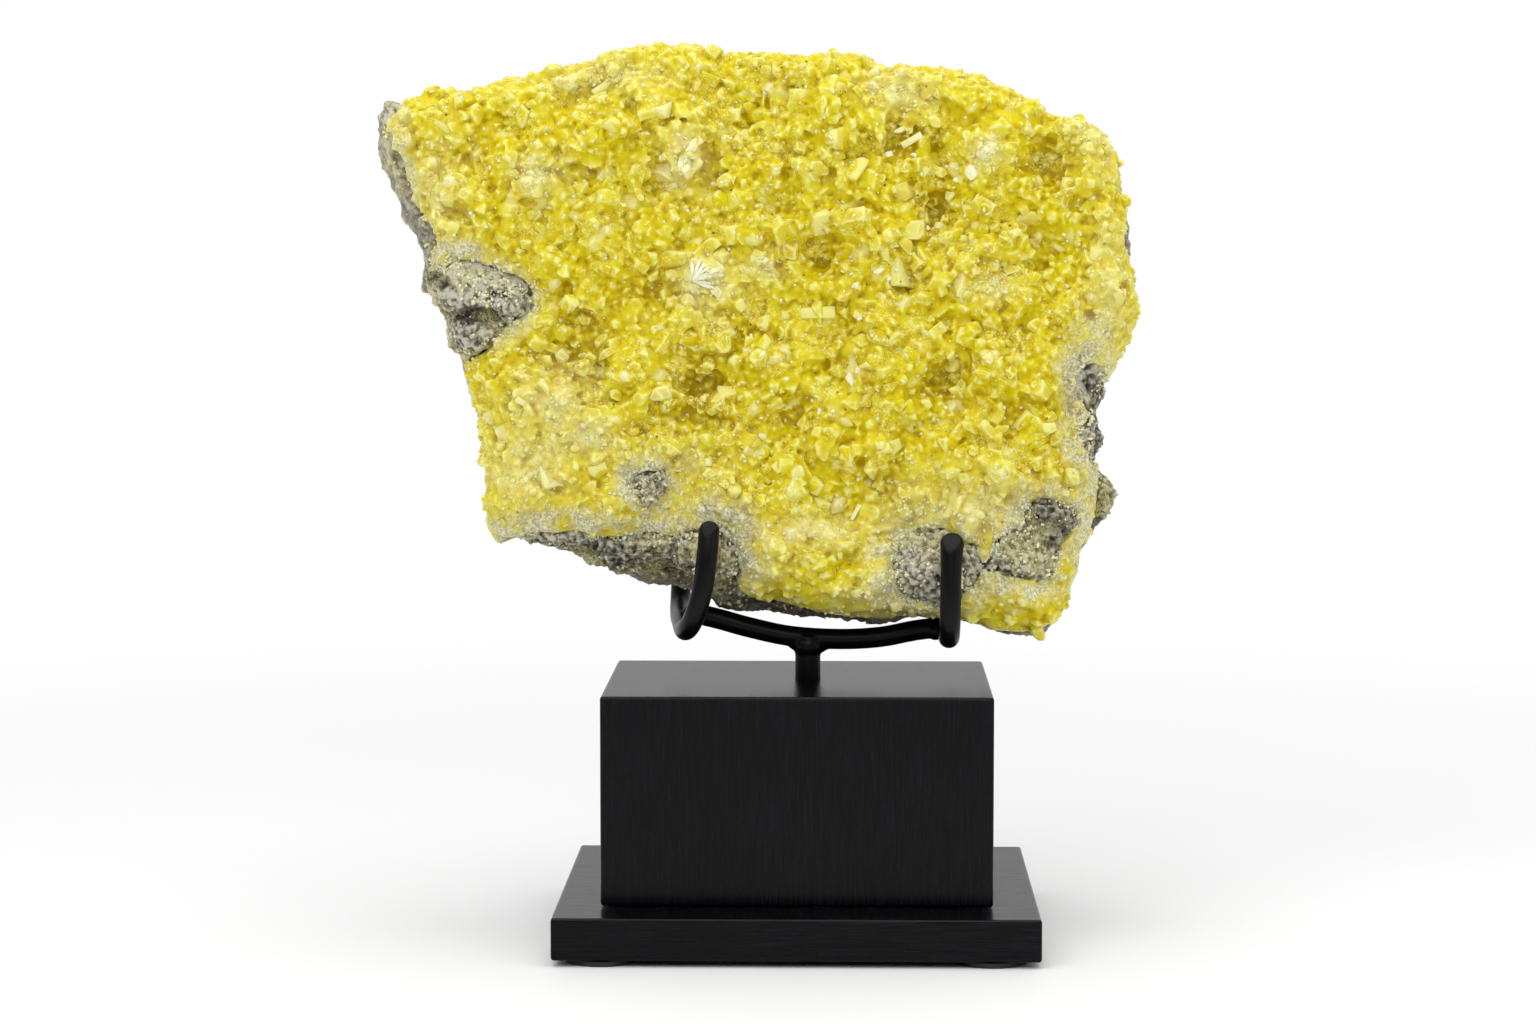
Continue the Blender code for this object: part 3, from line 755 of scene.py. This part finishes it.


# single crystals that stand out: x, z, width, height, turn in degrees, paleness; the palest are partly
# painted glints and partly pale crystals
notable = [
    (56.4, 201.0, 5.0, 5.6, 30, 0.85), (60.0, 206.5, 7.5, 6.5, 15, 0.65),
    (38.6, 196.1, 7.5, 6.5, -20, 0.15), (57.9, 192.4, 7.0, 6.0, 40, 0.05),
    (39.1, 182.2, 7.2, 6.2, -35, 0.10), (51.4, 195.3, 4.6, 4.6, 10, 0.25), (48.2, 187.5, 3.8, 3.0, 0, 0.45),
    (71.0, 188.8, 8.5, 7.0, 25, 0.15), (74.5, 185.0, 6.0, 5.2, -10, 0.20),
    (67.6, 175.7, 7.4, 5.6, -15, 0.05), (21.6, 209.7, 8.2, 7.4, 20, 0.12),
    (38.5, 213.0, 7.0, 2.6, 35, 0.55), (40.9, 209.6, 6.5, 2.4, 30, 0.45),
    (-51.2, 153.4, 5.6, 6.8, 35, 0.30), (-24.7, 144.0, 9.0, 7.5, 5, 0.20),
    (26.4, 112.4, 5.0, 2.2, 60, 0.50), (-18.5, 203.9, 4.0, 8.6, -18, 0.75),
    (-16.4, 207.5, 3.2, 6.0, -30, 0.60), (34.9, 206.0, 2.0, 2.0, 20, 0.95),
    (41.4, 205.5, 2.0, 2.2, 50, 0.95), (52.4, 199.2, 2.2, 2.0, 10, 0.95), (44.8, 186.9, 2.0, 2.2, 70, 0.95),
    (32.3, 175.5, 4.0, 2.4, 20, 0.95), (35.0, 173.3, 2.6, 3.4, 25, 0.95), (24.9, 147.4, 3.4, 5.6, 12, 0.90),
    (27.0, 149.5, 2.2, 3.0, -20, 0.60), (26.1, 171.5, 3.2, 2.6, 30, 0.75), (5.0, 151.5, 6.5, 5.5, 30, 0.25),
    (2.0, 153.4, 3.4, 1.6, 45, 0.70), (2.6, 178.0, 2.6, 2.0, 20, 0.80), (16.9, 138.9, 1.8, 3.4, -10, 0.85),
    (1.9, 132.2, 3.2, 2.4, -15, 0.60), (-34.0, 147.9, 2.8, 3.2, 30, 0.65),
]
# a spray of thin pale needles: x, z of its foot, first and last angle in degrees, how many, length and width
spray = {"foot": (-16.4, 172.6), "angles": (-22, 88), "count": 8, "length": 7.4, "width": 1.25}


def spotShare(local, x, z, halfWide, halfHigh):
    return np.exp(-(((local[:, 0] - x) / halfWide) ** 2 + ((local[:, 2] - z) / halfHigh) ** 2))


def spotSum(local, spots):
    total = np.zeros(len(local))
    for x, z, halfWide, halfHigh, strength in spots:
        total += strength * spotShare(local, x, z, halfWide, halfHigh)
    return total


# small corrections of the outline: x, z, half width, half height, and the shift in x and z, all in mm
outlineShifts = [
    (-27, 234, 14, 6, 0, 0.4), (-8, 233, 12, 6, 0, -0.7), (18, 230, 22, 8, 0, 1.0),
    (37, 230, 6, 6, 0, -0.2), (70, 223, 12, 8, -0.2, -0.3), (96, 202, 8, 12, 0.3, 0),
    (102, 165, 8, 10, -0.1, 0), (93, 137, 8, 9, -1.8, 0), (95, 123, 6, 7, 2.0, 0), (72, 80, 12, 6, 0, -1.2),
    (-63, 226, 12, 6, 0, -1.8), (-60, 103, 22, 5, 0, 0.3), (-49, 100, 10, 5, 0, -0.8),
    (-73, 134, 6, 16, -0.1, 0), (-73, 113, 5, 5, 0.5, 0), (8, 86, 20, 5, 0, -1.1),
]
rockShifts = [(-98, 203, 8, 14, -1.8, 0), (-88, 180, 8, 8, -0.9, 0)]
crustShifts = [(-98, 205, 8, 18, 1.6, 0)]


def outlineShift(local, shifts):
    shift = np.zeros((len(local), 3))
    for x, z, halfWide, halfHigh, sideways, upward in shifts:
        share = spotShare(local, x, z, halfWide, halfHigh)
        shift[:, 0] += sideways * share
        shift[:, 2] += upward * share
    return shift * mm


def makeBed():
    mesh = remeshed(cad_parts["sulfur_crystals"].data.copy(), sulfur["bedVoxel"], sulfur["bedSmoothing"])
    points, normals = coordinates(mesh), vertexNormals(mesh)
    local = localPlaces(points)
    relief = 1.5 * spotSum(local, hollowSpots) + 1.6 * spotSum(local, bossSpots)
    front = unit(-normals[:, 1] * 1.6 - 0.3)
    lumps = [1.3 * fractal(Vector(p), 0.011, 3, 2) + 0.8 * fractal(Vector(p), 0.0045, 15, 2) for p in points]
    lumps = np.array(lumps)
    closing = 2.0 * haloAt(local)
    away = relief * front + lumps * (0.35 + 0.65 * front) - 0.9 * front - 0.6 * (1 - front) + closing
    points = points + normals * (away * mm)[:, None] + outlineShift(local, outlineShifts + crustShifts)
    # the crust hangs lower over the rock between the hooks
    first, full, last, top, fading, deep = sulfur["lowerEdge"]
    share = unit((local[:, 0] - first) / (full - first)) * unit((last - local[:, 0]) / (last - full))
    points[:, 2] -= deep * mm * share * unit((top - local[:, 2]) / fading)
    setCoordinates(mesh, points)
    mesh.materials.clear()
    return mesh


def haloAt(local):
    reach = np.zeros(len(local))
    for x, z, halfWide, halfHigh, strength in rockSpots:
        across, along = (local[:, 0] - x) / (halfWide + 1.5), (local[:, 2] - z) / (halfHigh + 1.5)
        away = np.sqrt(across**2 + along**2)
        reach = np.maximum(reach, strength * np.clip(1.4 - away, 0, 0.5) / 0.5)
    return reach


def regionLooks(local):
    pale = unit(spotSum(local, paleSpots))
    hollowShade = unit(spotSum(local, hollowShadeSpots))
    return pale, hollowShade, haloAt(local)


def makeSulfurMaterial(name, glow):
    material, tree, shader = newMaterial(name)
    look = addNode(tree, "ShaderNodeAttribute", attribute_name="look")
    split = addNode(tree, "ShaderNodeSeparateColor")
    link(tree, look, "Color", split, "Color")
    lightness, edge, pale = split.outputs
    grey = look.outputs["Alpha"]
    mottle = noiseTexture(tree, 260.0, 3.0, 0.6)
    fine = noiseTexture(tree, 1500.0, 3.0, 0.6)
    swing = maths(tree, "MULTIPLY", maths(tree, "SUBTRACT", mottle, 0.5), 0.45)
    tone = ramp(tree, maths(tree, "ADD", lightness, swing), sulfur["tones"])
    # painted highlight along the crystals' edges and crests
    rim = maths(tree, "MULTIPLY", maths(tree, "POWER", edge, 5.0), 0.75)
    colour = mixColour(tree, rim, tone, sulfur["edgeHighlightColour"])
    # frosted specks, finer than a millimetre, in patches
    specks = greyRamp(tree, noiseTexture(tree, 1700.0, 2.0, 0.6), 0.53, 0.62)
    patches = greyRamp(tree, noiseTexture(tree, 130.0, 3.0, 0.55), 0.49, 0.62, 0.05)
    frost = maths(tree, "MULTIPLY", maths(tree, "MULTIPLY", specks, patches), 0.65)
    colour = mixColour(tree, frost, colour, sulfur["frostColour"])
    colour = mixColour(tree, pale, colour, sulfur["paleColour"])
    # painted shade of a few tiny pinholes, which have no geometry
    place = tree.nodes.new("ShaderNodeTexCoord")
    cells = addNode(tree, "ShaderNodeTexVoronoi", feature="F1")
    cells.inputs["Scale"].default_value = 170.0
    link(tree, place, "Object", cells, "Vector")
    pinhole = greyRamp(tree, cells.outputs["Distance"], 0.05, 0.085, 1, 0)
    holes = maths(tree, "MULTIPLY", pinhole, mapRange(tree, lightness, (0.55, 0.40, 0.0, 0.85)))
    colour = mixColour(tree, holes, colour, sulfur["pinholeShadeColour"])
    colour = mixColour(tree, grey, colour, ramp(tree, fine, sulfur["greyTones"]))
    tree.links.new(colour, shader.inputs["Base Color"])
    setInputs(shader, {
        "Subsurface Weight": glow, "Subsurface Radius": (1.0, 0.8, 0.3), "Subsurface Scale": 0.0008,
        "Roughness": sulfur["crustRoughness"], "Specular IOR Level": 0.11,
    })
    addBump(tree, shader, fine, 0.22, 0.0003)
    return material


def cutBlock(chance, cuts, bevel, rounds=1, centred=True):
    shape = bmesh.new()
    bmesh.ops.create_cube(shape, size=2)
    half = Vector((1, chance.uniform(0.68, 1), chance.uniform(0.5, 0.85)))
    for vertex in shape.verts:
        vertex.co = Vector(vertex.co[k] * half[k] for k in range(3))
    for _ in range(cuts):
        normal = Vector(chance.gauss(0, 1) for _ in range(3)).normalized()
        reach = sum(abs(normal[k]) * half[k] for k in range(3)) * chance.uniform(0.66, 0.84)
        sliceOff(shape, normal * reach, normal)
    bmesh.ops.remove_doubles(shape, verts=shape.verts, dist=0.05)
    bmesh.ops.recalc_face_normals(shape, faces=shape.faces)
    return shapeData(shape, bevel, rounds, centred)


def shapeData(shape, bevel, rounds, centred):
    if bevel:
        bmesh.ops.bevel(
            shape, geom=shape.edges[:], offset=bevel, offset_type="OFFSET", segments=rounds, profile=0.5,
            affect="EDGES", clamp_overlap=True,
        )
    before = len(shape.verts)
    if centred:
        bmesh.ops.poke(shape, faces=[f for f in shape.faces if f.calc_area() > 0.08])
    bmesh.ops.triangulate(shape, faces=shape.faces)
    points, faces = shapeArrays(shape)
    edge = np.ones(len(points))
    edge[before:] = 0.0
    return points, faces, edge


def gem(chance, corners, bevel, centred=True):
    # a convex stone through scattered corners, with its edges taken off
    spots = []
    while len(spots) < corners:
        spot = Vector(chance.gauss(0, 1) for _ in range(3)).normalized()
        if all((spot - other).length > 0.62 for other in spots):
            spots.append(spot)
    shape = bmesh.new()
    for spot in spots:
        shape.verts.new(spot * chance.uniform(0.86, 1.1))
    hull = bmesh.ops.convex_hull(shape, input=shape.verts)
    inside = [g for g in hull["geom_interior"] if isinstance(g, bmesh.types.BMVert)]
    bmesh.ops.delete(shape, geom=inside, context="VERTS")
    bmesh.ops.dissolve_limit(shape, angle_limit=0.30, verts=shape.verts, edges=shape.edges)
    return shapeData(shape, bevel, 1, centred)


def roundLump(chance):
    shape = bmesh.new()
    bmesh.ops.create_icosphere(shape, subdivisions=1, radius=1)
    for vertex in shape.verts:
        vertex.co *= chance.uniform(0.82, 1.05)
    points, faces = shapeArrays(shape)
    return points, faces, np.full(len(points), 0.3)


def sampleBed(mesh, count, chance):
    triangles = meshTriangles(mesh)
    points, normals = coordinates(mesh), vertexNormals(mesh)
    a, b, c = (points[triangles[:, i]] for i in range(3))
    area = np.linalg.norm(np.cross(b - a, c - a), axis=1)
    facing = normals[triangles].mean(axis=1)
    area[facing[:, 1] > 0.75] = 0
    area[facing[:, 2] < -0.55] *= 0.15
    picks = chance.choice(len(area), size=count, p=area / area.sum())
    u, v = chance.random(count), chance.random(count)
    flip = u + v > 1
    u[flip], v[flip] = 1 - u[flip], 1 - v[flip]
    places = a[picks] + (b - a)[picks] * u[:, None] + (c - a)[picks] * v[:, None]
    return places, facing[picks]


cellsAround = [(i, j, k) for i in range(-2, 3) for j in range(-2, 3) for k in range(-2, 3)]


def crowded(grid, key, place, half, room):
    for i, j, k in cellsAround:
        for other, otherHalf in grid.get((key[0] + i, key[1] + j, key[2] + k), ()):
            gap = (half + otherHalf) * room
            if abs(place[0] - other[0]) < gap and np.linalg.norm(place - other) < gap:
                return True
    return False


def placeCrystals(mesh):
    chance = np.random.default_rng(sulfur["seed"])
    sites = []
    cell = 0.004
    grid = {}
    for name, kind in sulfur["kinds"].items():
        places, normals = sampleBed(mesh, kind["count"] * 5, chance)
        local = localPlaces(places)
        fineness = unit(haloAt(local) + unit(spotSum(local, paleSpots)) * 0.7)
        rim = unit(1.25 - 2.5 * np.abs(normals[:, 1]))
        taken = 0
        for place, normal, sugary, edge in zip(places, normals, fineness, rim):
            half = chance.uniform(*kind["half"]) * mm
            if name in ("large", "medium") and chance.random() < max(0.85 * sugary, 0.6 * edge):
                continue
            half *= 1 - max(0.28 * edge, 0.27 * sugary)
            key = tuple(int(math.floor(v / cell)) for v in place)
            if crowded(grid, key, place, half, kind["room"]):
                continue
            grid.setdefault(key, []).append((place, half))
            sites.append((place, normal, half, name, edge))
            taken += 1
            if taken == kind["count"]:
                break
        say(f"{name} crystals: {taken}")
    return sites


def poseCrystal(site, chance):
    place, normal, half, kind, edge = site
    turn = Quaternion([chance.gauss(0, 1) for _ in range(4)])
    spin = np.array(turn.normalized().to_matrix())
    long = chance.uniform(0.9, 1.25) if chance.random() < 0.8 else chance.uniform(1.25, 1.6)
    size = np.array([long, chance.uniform(0.8, 1.0), chance.uniform(0.8, 1.0)]) * half
    rise = chance.uniform(-0.50, 0.10) - 0.15 * edge
    if kind in ("chips", "sugar"):
        rise = chance.uniform(0.0, 0.5)
    centre = np.array(place) + np.array(normal) * half * rise
    return spin, size, centre


def buildCrystals(sites, templates, chance, swell=1.0):
    points, faces, details = [], [], []
    offset = 0
    for site in sites:
        shape, shapeFaces, edge = chance.choice(templates)
        spin, size, centre = poseCrystal(site, chance)
        moved = (shape * (size * swell)) @ spin.T + centre
        points.append(moved)
        faces.append(shapeFaces + offset)
        offset += len(shape)
        height = ((moved - site[0]) @ site[1]) / site[2]
        details.append(np.column_stack([height, edge, np.full(len(shape), chance.random())]))
    return np.concatenate(points), np.concatenate(faces), np.concatenate(details)


def makeCrust(bed, built, rockTree):
    points, faces, _ = built
    bedPoints, bedFaces = coordinates(bed), meshTriangles(bed)
    joined = np.concatenate([bedPoints, points]), np.concatenate([bedFaces, faces + len(bedPoints)])
    mesh = remeshed(meshFrom("crust", *joined), sulfur["crustVoxel"])
    say(f"crust joined: {len(mesh.vertices)} points")
    points, normals = coordinates(mesh), vertexNormals(mesh)
    hidden = normals[:, 1] > 0.2
    for i in np.nonzero(hidden)[0]:
        hidden[i] = rockTree.find_nearest(points[i], sulfur["hiddenUnder"])[0] is not None
    guarded = np.nonzero(~hidden)[0]
    count = len(meshTriangles(mesh))
    mesh = decimated(mesh, min(1.0, (2.0 * len(guarded) + 6000) / count), guarded)
    count = len(meshTriangles(mesh))
    say(f"crust's back thinned: {count} triangles")
    if count > sulfur["crustTriangles"]:
        mesh = decimated(mesh, sulfur["crustTriangles"] / count)
    return mesh


def nearestCrystals(points, built):
    # for every point, the tone of the crystal that it belongs to and how near it is to that crystal's edges
    shapePoints, shapeFaces, details = built
    tree = bvhtree.BVHTree.FromPolygons(shapePoints.tolist(), shapeFaces.tolist())
    found = [tree.find_nearest(p) for p in points.tolist()]
    corners = shapeFaces[np.array([hit[2] for hit in found])]
    place = np.array([hit[0][:] for hit in found])
    a, b, c = (shapePoints[corners[:, i]] for i in range(3))
    whole = np.cross(b - a, c - a)
    square = np.maximum(np.einsum("ij,ij->i", whole, whole), 1e-30)
    second = np.einsum("ij,ij->i", np.cross(place - a, c - a), whole) / square
    third = np.einsum("ij,ij->i", np.cross(b - a, place - a), whole) / square
    shares = np.column_stack([1 - second - third, second, third])
    outline = (shares * details[corners][:, :, 1]).sum(axis=1)
    return details[corners[:, 0]][:, 2], unit(outline)


def paintCrust(mesh, tone, outline):
    points, sharp, broad = standOut(mesh, 4, 30)
    local = localPlaces(points)
    pale, hollowShade, halo = regionLooks(local)
    cloud = np.array([fractal(Vector(p), 0.006, 31, 2) for p in points])
    # painted shade in creases, hollows and broad dips, and painted light on crests and bulges; cloud and tone
    # are the crust's own colour
    crease, crest = np.clip(sharp, -0.2, 0), np.clip(sharp, 0, 0.2)
    light = 0.45 + 0.16 * np.clip(broad, -1.0, 1.0) + 1.9 * crease + 0.8 * crest + 0.12 * cloud - 0.35 * hollowShade
    light += 0.34 * (tone - 0.5)
    # pale crystal outlines and sharp crests: painted edge highlights
    outlined = unit(outline * 3.2 - 2.2) * (0.35 + 0.65 * np.mod(tone * 7.3, 1)) * (sharp > -0.03)
    edge = unit(np.maximum(sharp * 8, outlined))
    # the broad term is painted light on bulges; pale patches and whitish crystals are the crust's own colour
    white = pale * (0.5 + 0.5 * cloud) + 0.1 * unit(broad) + unit(tone - 0.93) * 5
    grey = np.clip(halo * (0.68 + 1.1 * cloud), 0, 0.9)
    return np.column_stack([unit(light), edge, np.clip(white, 0, 0.9), grey])


def addCrust(mesh, built, material):
    # a left and a right piece share the same normals along their seam, which follows crystals' edges
    points, normals, faces = coordinates(mesh), vertexNormals(mesh), meshTriangles(mesh)
    tone, outline = nearestCrystals(points, built)
    look = paintCrust(mesh, tone, outline)
    middle = np.median(points[:, 0]) + 0.002 * (tone - 0.5)
    onRight = (points[:, 0] > middle)[faces[:, 0]]
    made = []
    for name, part in (("sulfurCrustLeft", faces[~onRight]), ("sulfurCrustRight", faces[onRight])):
        used, renumbered = np.unique(part, return_inverse=True)
        half = meshFrom(name, points[used], renumbered.reshape(-1, 3))
        half.validate()
        half.shade_smooth()
        half.normals_split_custom_set_from_vertices(normals[used].tolist())
        paintLook(half, look[used])
        half.materials.append(material)
        addPiece(name, half, () if made else ("sulfur_crystals",))
        made.append(half)
        say(f"{name}: {len(part)} triangles")
    return made


def addCrystals(name, sites, templates, material, smooth=False):
    chance = random.Random(sulfur["seeds"][name])
    points, faces, details = buildCrystals(sites, templates, chance, 1.03)
    mesh = meshFrom(name, points, faces)
    local = localPlaces(points)
    pale, hollowShade, halo = regionLooks(local)
    height, edge, tone = details.T
    # painted light on the tips and painted shade low down, in hollows and in face centres; tone is the
    # crystals' own colour
    light = 0.36 + 0.12 * np.clip(height, -0.5, 1.0) + 0.30 * (tone - 0.4) - 0.30 * hollowShade - 0.06 * (1 - edge)
    white = np.clip(pale * (0.3 + tone) + unit(tone - 0.93) * 5, 0, 0.9)
    grey = np.clip(halo * (0.35 + tone * 0.9), 0, 0.9)
    # tiny crystals painted near-white as glints
    if name == "chips":
        light = 0.7 + 0.3 * tone
        white = unit(0.3 + tone * 0.8)
        grey = grey * 0.3
    if name == "sugar":
        light = 0.5 + 0.4 * tone
        white = unit(0.2 + pale * 0.4 + (0.35 + 0.6 * tone) * (halo > 0.1))
        grey = np.clip(halo * (tone - 0.2), 0, 0.9)
    paintLook(mesh, np.column_stack([unit(light), edge, white, grey]))
    if smooth:
        mesh.shade_smooth()
    mesh.materials.append(material)
    addPiece(name, mesh)
    say(f"{name}: {len(faces)} triangles")
    return mesh


def frontHits(trees, spots):
    # where rays from the crystal side first meet the meshes, for spots of x and z in mm on the upright slab
    way = (leanPlace.to_3x3() @ Vector((0, 1, 0))).normalized()
    hits = []
    for x, z in spots:
        start = leanPlace @ (Vector((x, -60, z)) * mm)
        found = [hit for hit in (tree.ray_cast(start, way) for tree in trees) if hit[0] is not None]
        if found:
            place, normal, _, _ = min(found, key=lambda hit: hit[3])
            hits.append((np.array(place), np.array(normal)))
    return hits


def treeOf(mesh):
    return bvhtree.BVHTree.FromPolygons(coordinates(mesh).tolist(), meshTriangles(mesh).tolist())


def chipSites(trees, chance):
    kind = sulfur["chips"]
    spots = [(chance.uniform(-100, 101), chance.uniform(82, 236)) for _ in range(kind["count"])]
    return [
        (place, normal, chance.uniform(*kind["half"]) * mm, "chips", 0.0)
        for place, normal in frontHits(trees, spots)
    ]


def sugarSites(crustPieces, rockMesh, trees, chance):
    # fine crystals along the borders of the bare rock, on both sides of them, and over the pale patches
    kind = sulfur["sugar"]
    rockTree, crustTrees = treeOf(rockMesh), [treeOf(mesh) for mesh in crustPieces]
    candidates = []
    for mesh, others, reach in (
        *((mesh, [rockTree], kind["reach"]) for mesh in crustPieces), (rockMesh, crustTrees, kind["inward"]),
    ):
        points, normals = coordinates(mesh), vertexNormals(mesh)
        for place, normal in zip(points[normals[:, 1] < -0.35], normals[normals[:, 1] < -0.35]):
            swing = 0.42 + 1.3 * fractal(Vector(place), 0.006, 41, 3)
            gap = min((tree.find_nearest(place, reach)[3] or reach) for tree in others)
            if gap < reach * min(swing, 0.99) and chance.random() > 0.8 * gap / reach:
                candidates.append((place, normal))
    say(f"borders of the rock: {len(candidates)} places")
    taken = chance.sample(candidates, min(len(candidates), round(kind["count"] * 0.75)))
    spots = []
    for _ in range(kind["count"] - len(taken)):
        x, z, wide, high, _ = chance.choice(paleSpots)
        turn, reach = chance.uniform(0, math.tau), chance.uniform(0, 1.2)
        spots.append((x + math.cos(turn) * wide * reach, z + math.sin(turn) * high * reach))
    return [
        (np.array(place), np.array(normal), chance.uniform(*kind["half"]) * mm, "sugar", 0.0)
        for place, normal in taken + frontHits(trees, spots)
    ]


def addNotable(trees, crisp, rounded, material, chance):
    # single crystals and the spray, turned so that their width and height are as seen from the front
    points, faces, looks, soft = [], [], [], []
    offset = 0
    across = np.array(leanPlace.to_3x3())

    def put(x, z, wide, high, turn, white, deep, rise):
        nonlocal offset
        angle = math.radians(turn)
        ends = [
            (x + share * wide / 2 * math.cos(angle), z + share * wide / 2 * math.sin(angle))
            for share in (-0.6, 0, 0.6)
        ]
        hits = [hit[0] for hit in frontHits(trees, ends)]
        if not hits:
            return
        place = leanPlace @ Vector((x * mm, min((upright @ Vector(hit)).y for hit in hits), z * mm))
        shape, shapeFaces, edge = chance.choice(crisp if white > 0.4 else rounded)
        tilt = Matrix.Rotation(chance.uniform(-0.3, 0.3), 3, "X")
        tilt = tilt @ Matrix.Rotation(chance.uniform(-0.3, 0.3), 3, "Z")
        spin = across @ np.array(Matrix.Rotation(-angle, 3, "Y") @ tilt)
        size = np.array([wide / 2, deep / 2, high / 2]) * mm
        centre = np.array(place) + across @ np.array([0, deep / 2 * rise, 0]) * mm
        points.append((shape * size) @ spin.T + centre)
        faces.append(shapeFaces + offset)
        soft.append(np.full(len(shapeFaces), white <= 0.4))
        offset += len(shape)
        # slightly lighter edges: a small painted edge highlight
        light = 0.44 + 0.06 * edge
        looks.append(np.column_stack([light, edge, np.full(len(shape), white), np.zeros(len(shape))]))

    for x, z, wide, high, turn, white in notable:
        put(x, z, 0.92 * wide, 0.92 * high, turn, white, 0.8 * min(wide, high), 0.42)
    first, last = spray["angles"]
    for i in range(spray["count"]):
        angle = first + (last - first) * i / (spray["count"] - 1) + chance.uniform(-4, 4)
        length = spray["length"] * chance.uniform(0.7, 1.05)
        x = spray["foot"][0] + math.cos(math.radians(angle)) * length / 2
        z = spray["foot"][1] + math.sin(math.radians(angle)) * length / 2
        put(x, z, length, spray["width"], angle, 1.0, 1.6 * spray["width"], -0.5)
    mesh = meshFrom("notableCrystals", np.concatenate(points), np.concatenate(faces))
    paintLook(mesh, np.concatenate(looks))
    mesh.polygons.foreach_set("use_smooth", np.concatenate(soft))
    mesh.materials.append(material)
    addPiece("notableCrystals", mesh)
    say(f"notable crystals: {len(meshTriangles(mesh))} triangles")
    return mesh


def makeSulfur(rockMesh):
    glowing, dense = makeSulfurMaterial("sulfur", sulfur["glow"]), makeSulfurMaterial("sulfurGrain", 0.0)
    bed = makeBed()
    say("bed made")
    sites = placeCrystals(bed)
    chance = random.Random(sulfur["seeds"]["shapes"])
    blocks = [cutBlock(chance, chance.choice((6, 7)), 0.16) for _ in range(2)]
    blocks += [gem(chance, chance.choice((10, 12, 14)), 0.11) for _ in range(17)]
    rounded = [gem(chance, chance.choice((9, 10, 12)), 0.09) for _ in range(12)]
    plain = [cutBlock(chance, chance.choice((4, 5, 6)), 0) for _ in range(3)]
    plain += [gem(chance, chance.choice((8, 9, 11)), 0) for _ in range(17)]
    lumps = [roundLump(chance) for _ in range(4)]
    bits = [cutBlock(chance, chance.choice((0, 1, 1, 2)), 0, 1, False) for _ in range(10)]
    bits += [gem(chance, 6, 0, False) for _ in range(4)]
    built = buildCrystals(sites, plain + lumps, random.Random(sulfur["seeds"]["crust"]))
    crust = addCrust(makeCrust(bed, built, treeOf(rockMesh)), built, glowing)
    shown = [*crust, rockMesh]
    trees = [treeOf(mesh) for mesh in shown]
    shown.append(addNotable(trees, blocks, rounded, glowing, chance))
    for name, shares, templates, material, smooth in (
        ("largeCrystals", {"large": 0.6, "medium": 0.30}, blocks, glowing, True),
        ("smallCrystals", {"small": 0.26}, plain, dense, False),
    ):
        chosen = [site for site in sites if chance.random() < shares.get(site[3], 0)]
        shown.append(addCrystals(name, chosen, templates, material, smooth))
    trees += [treeOf(mesh) for mesh in shown[len(trees):]]
    addCrystals("chips", chipSites(trees, chance), bits, dense)
    addCrystals("sugar", sugarSites(crust, rockMesh, trees, chance), bits, dense)


makeCamera()
makeFloor()
makeLamps()
makeWorld()
say("camera and studio made")
dressBase()
makeCradle()
say("base and cradle made")
rockMesh = makeRock()
makeSulfur(rockMesh)
say("sulfur made")
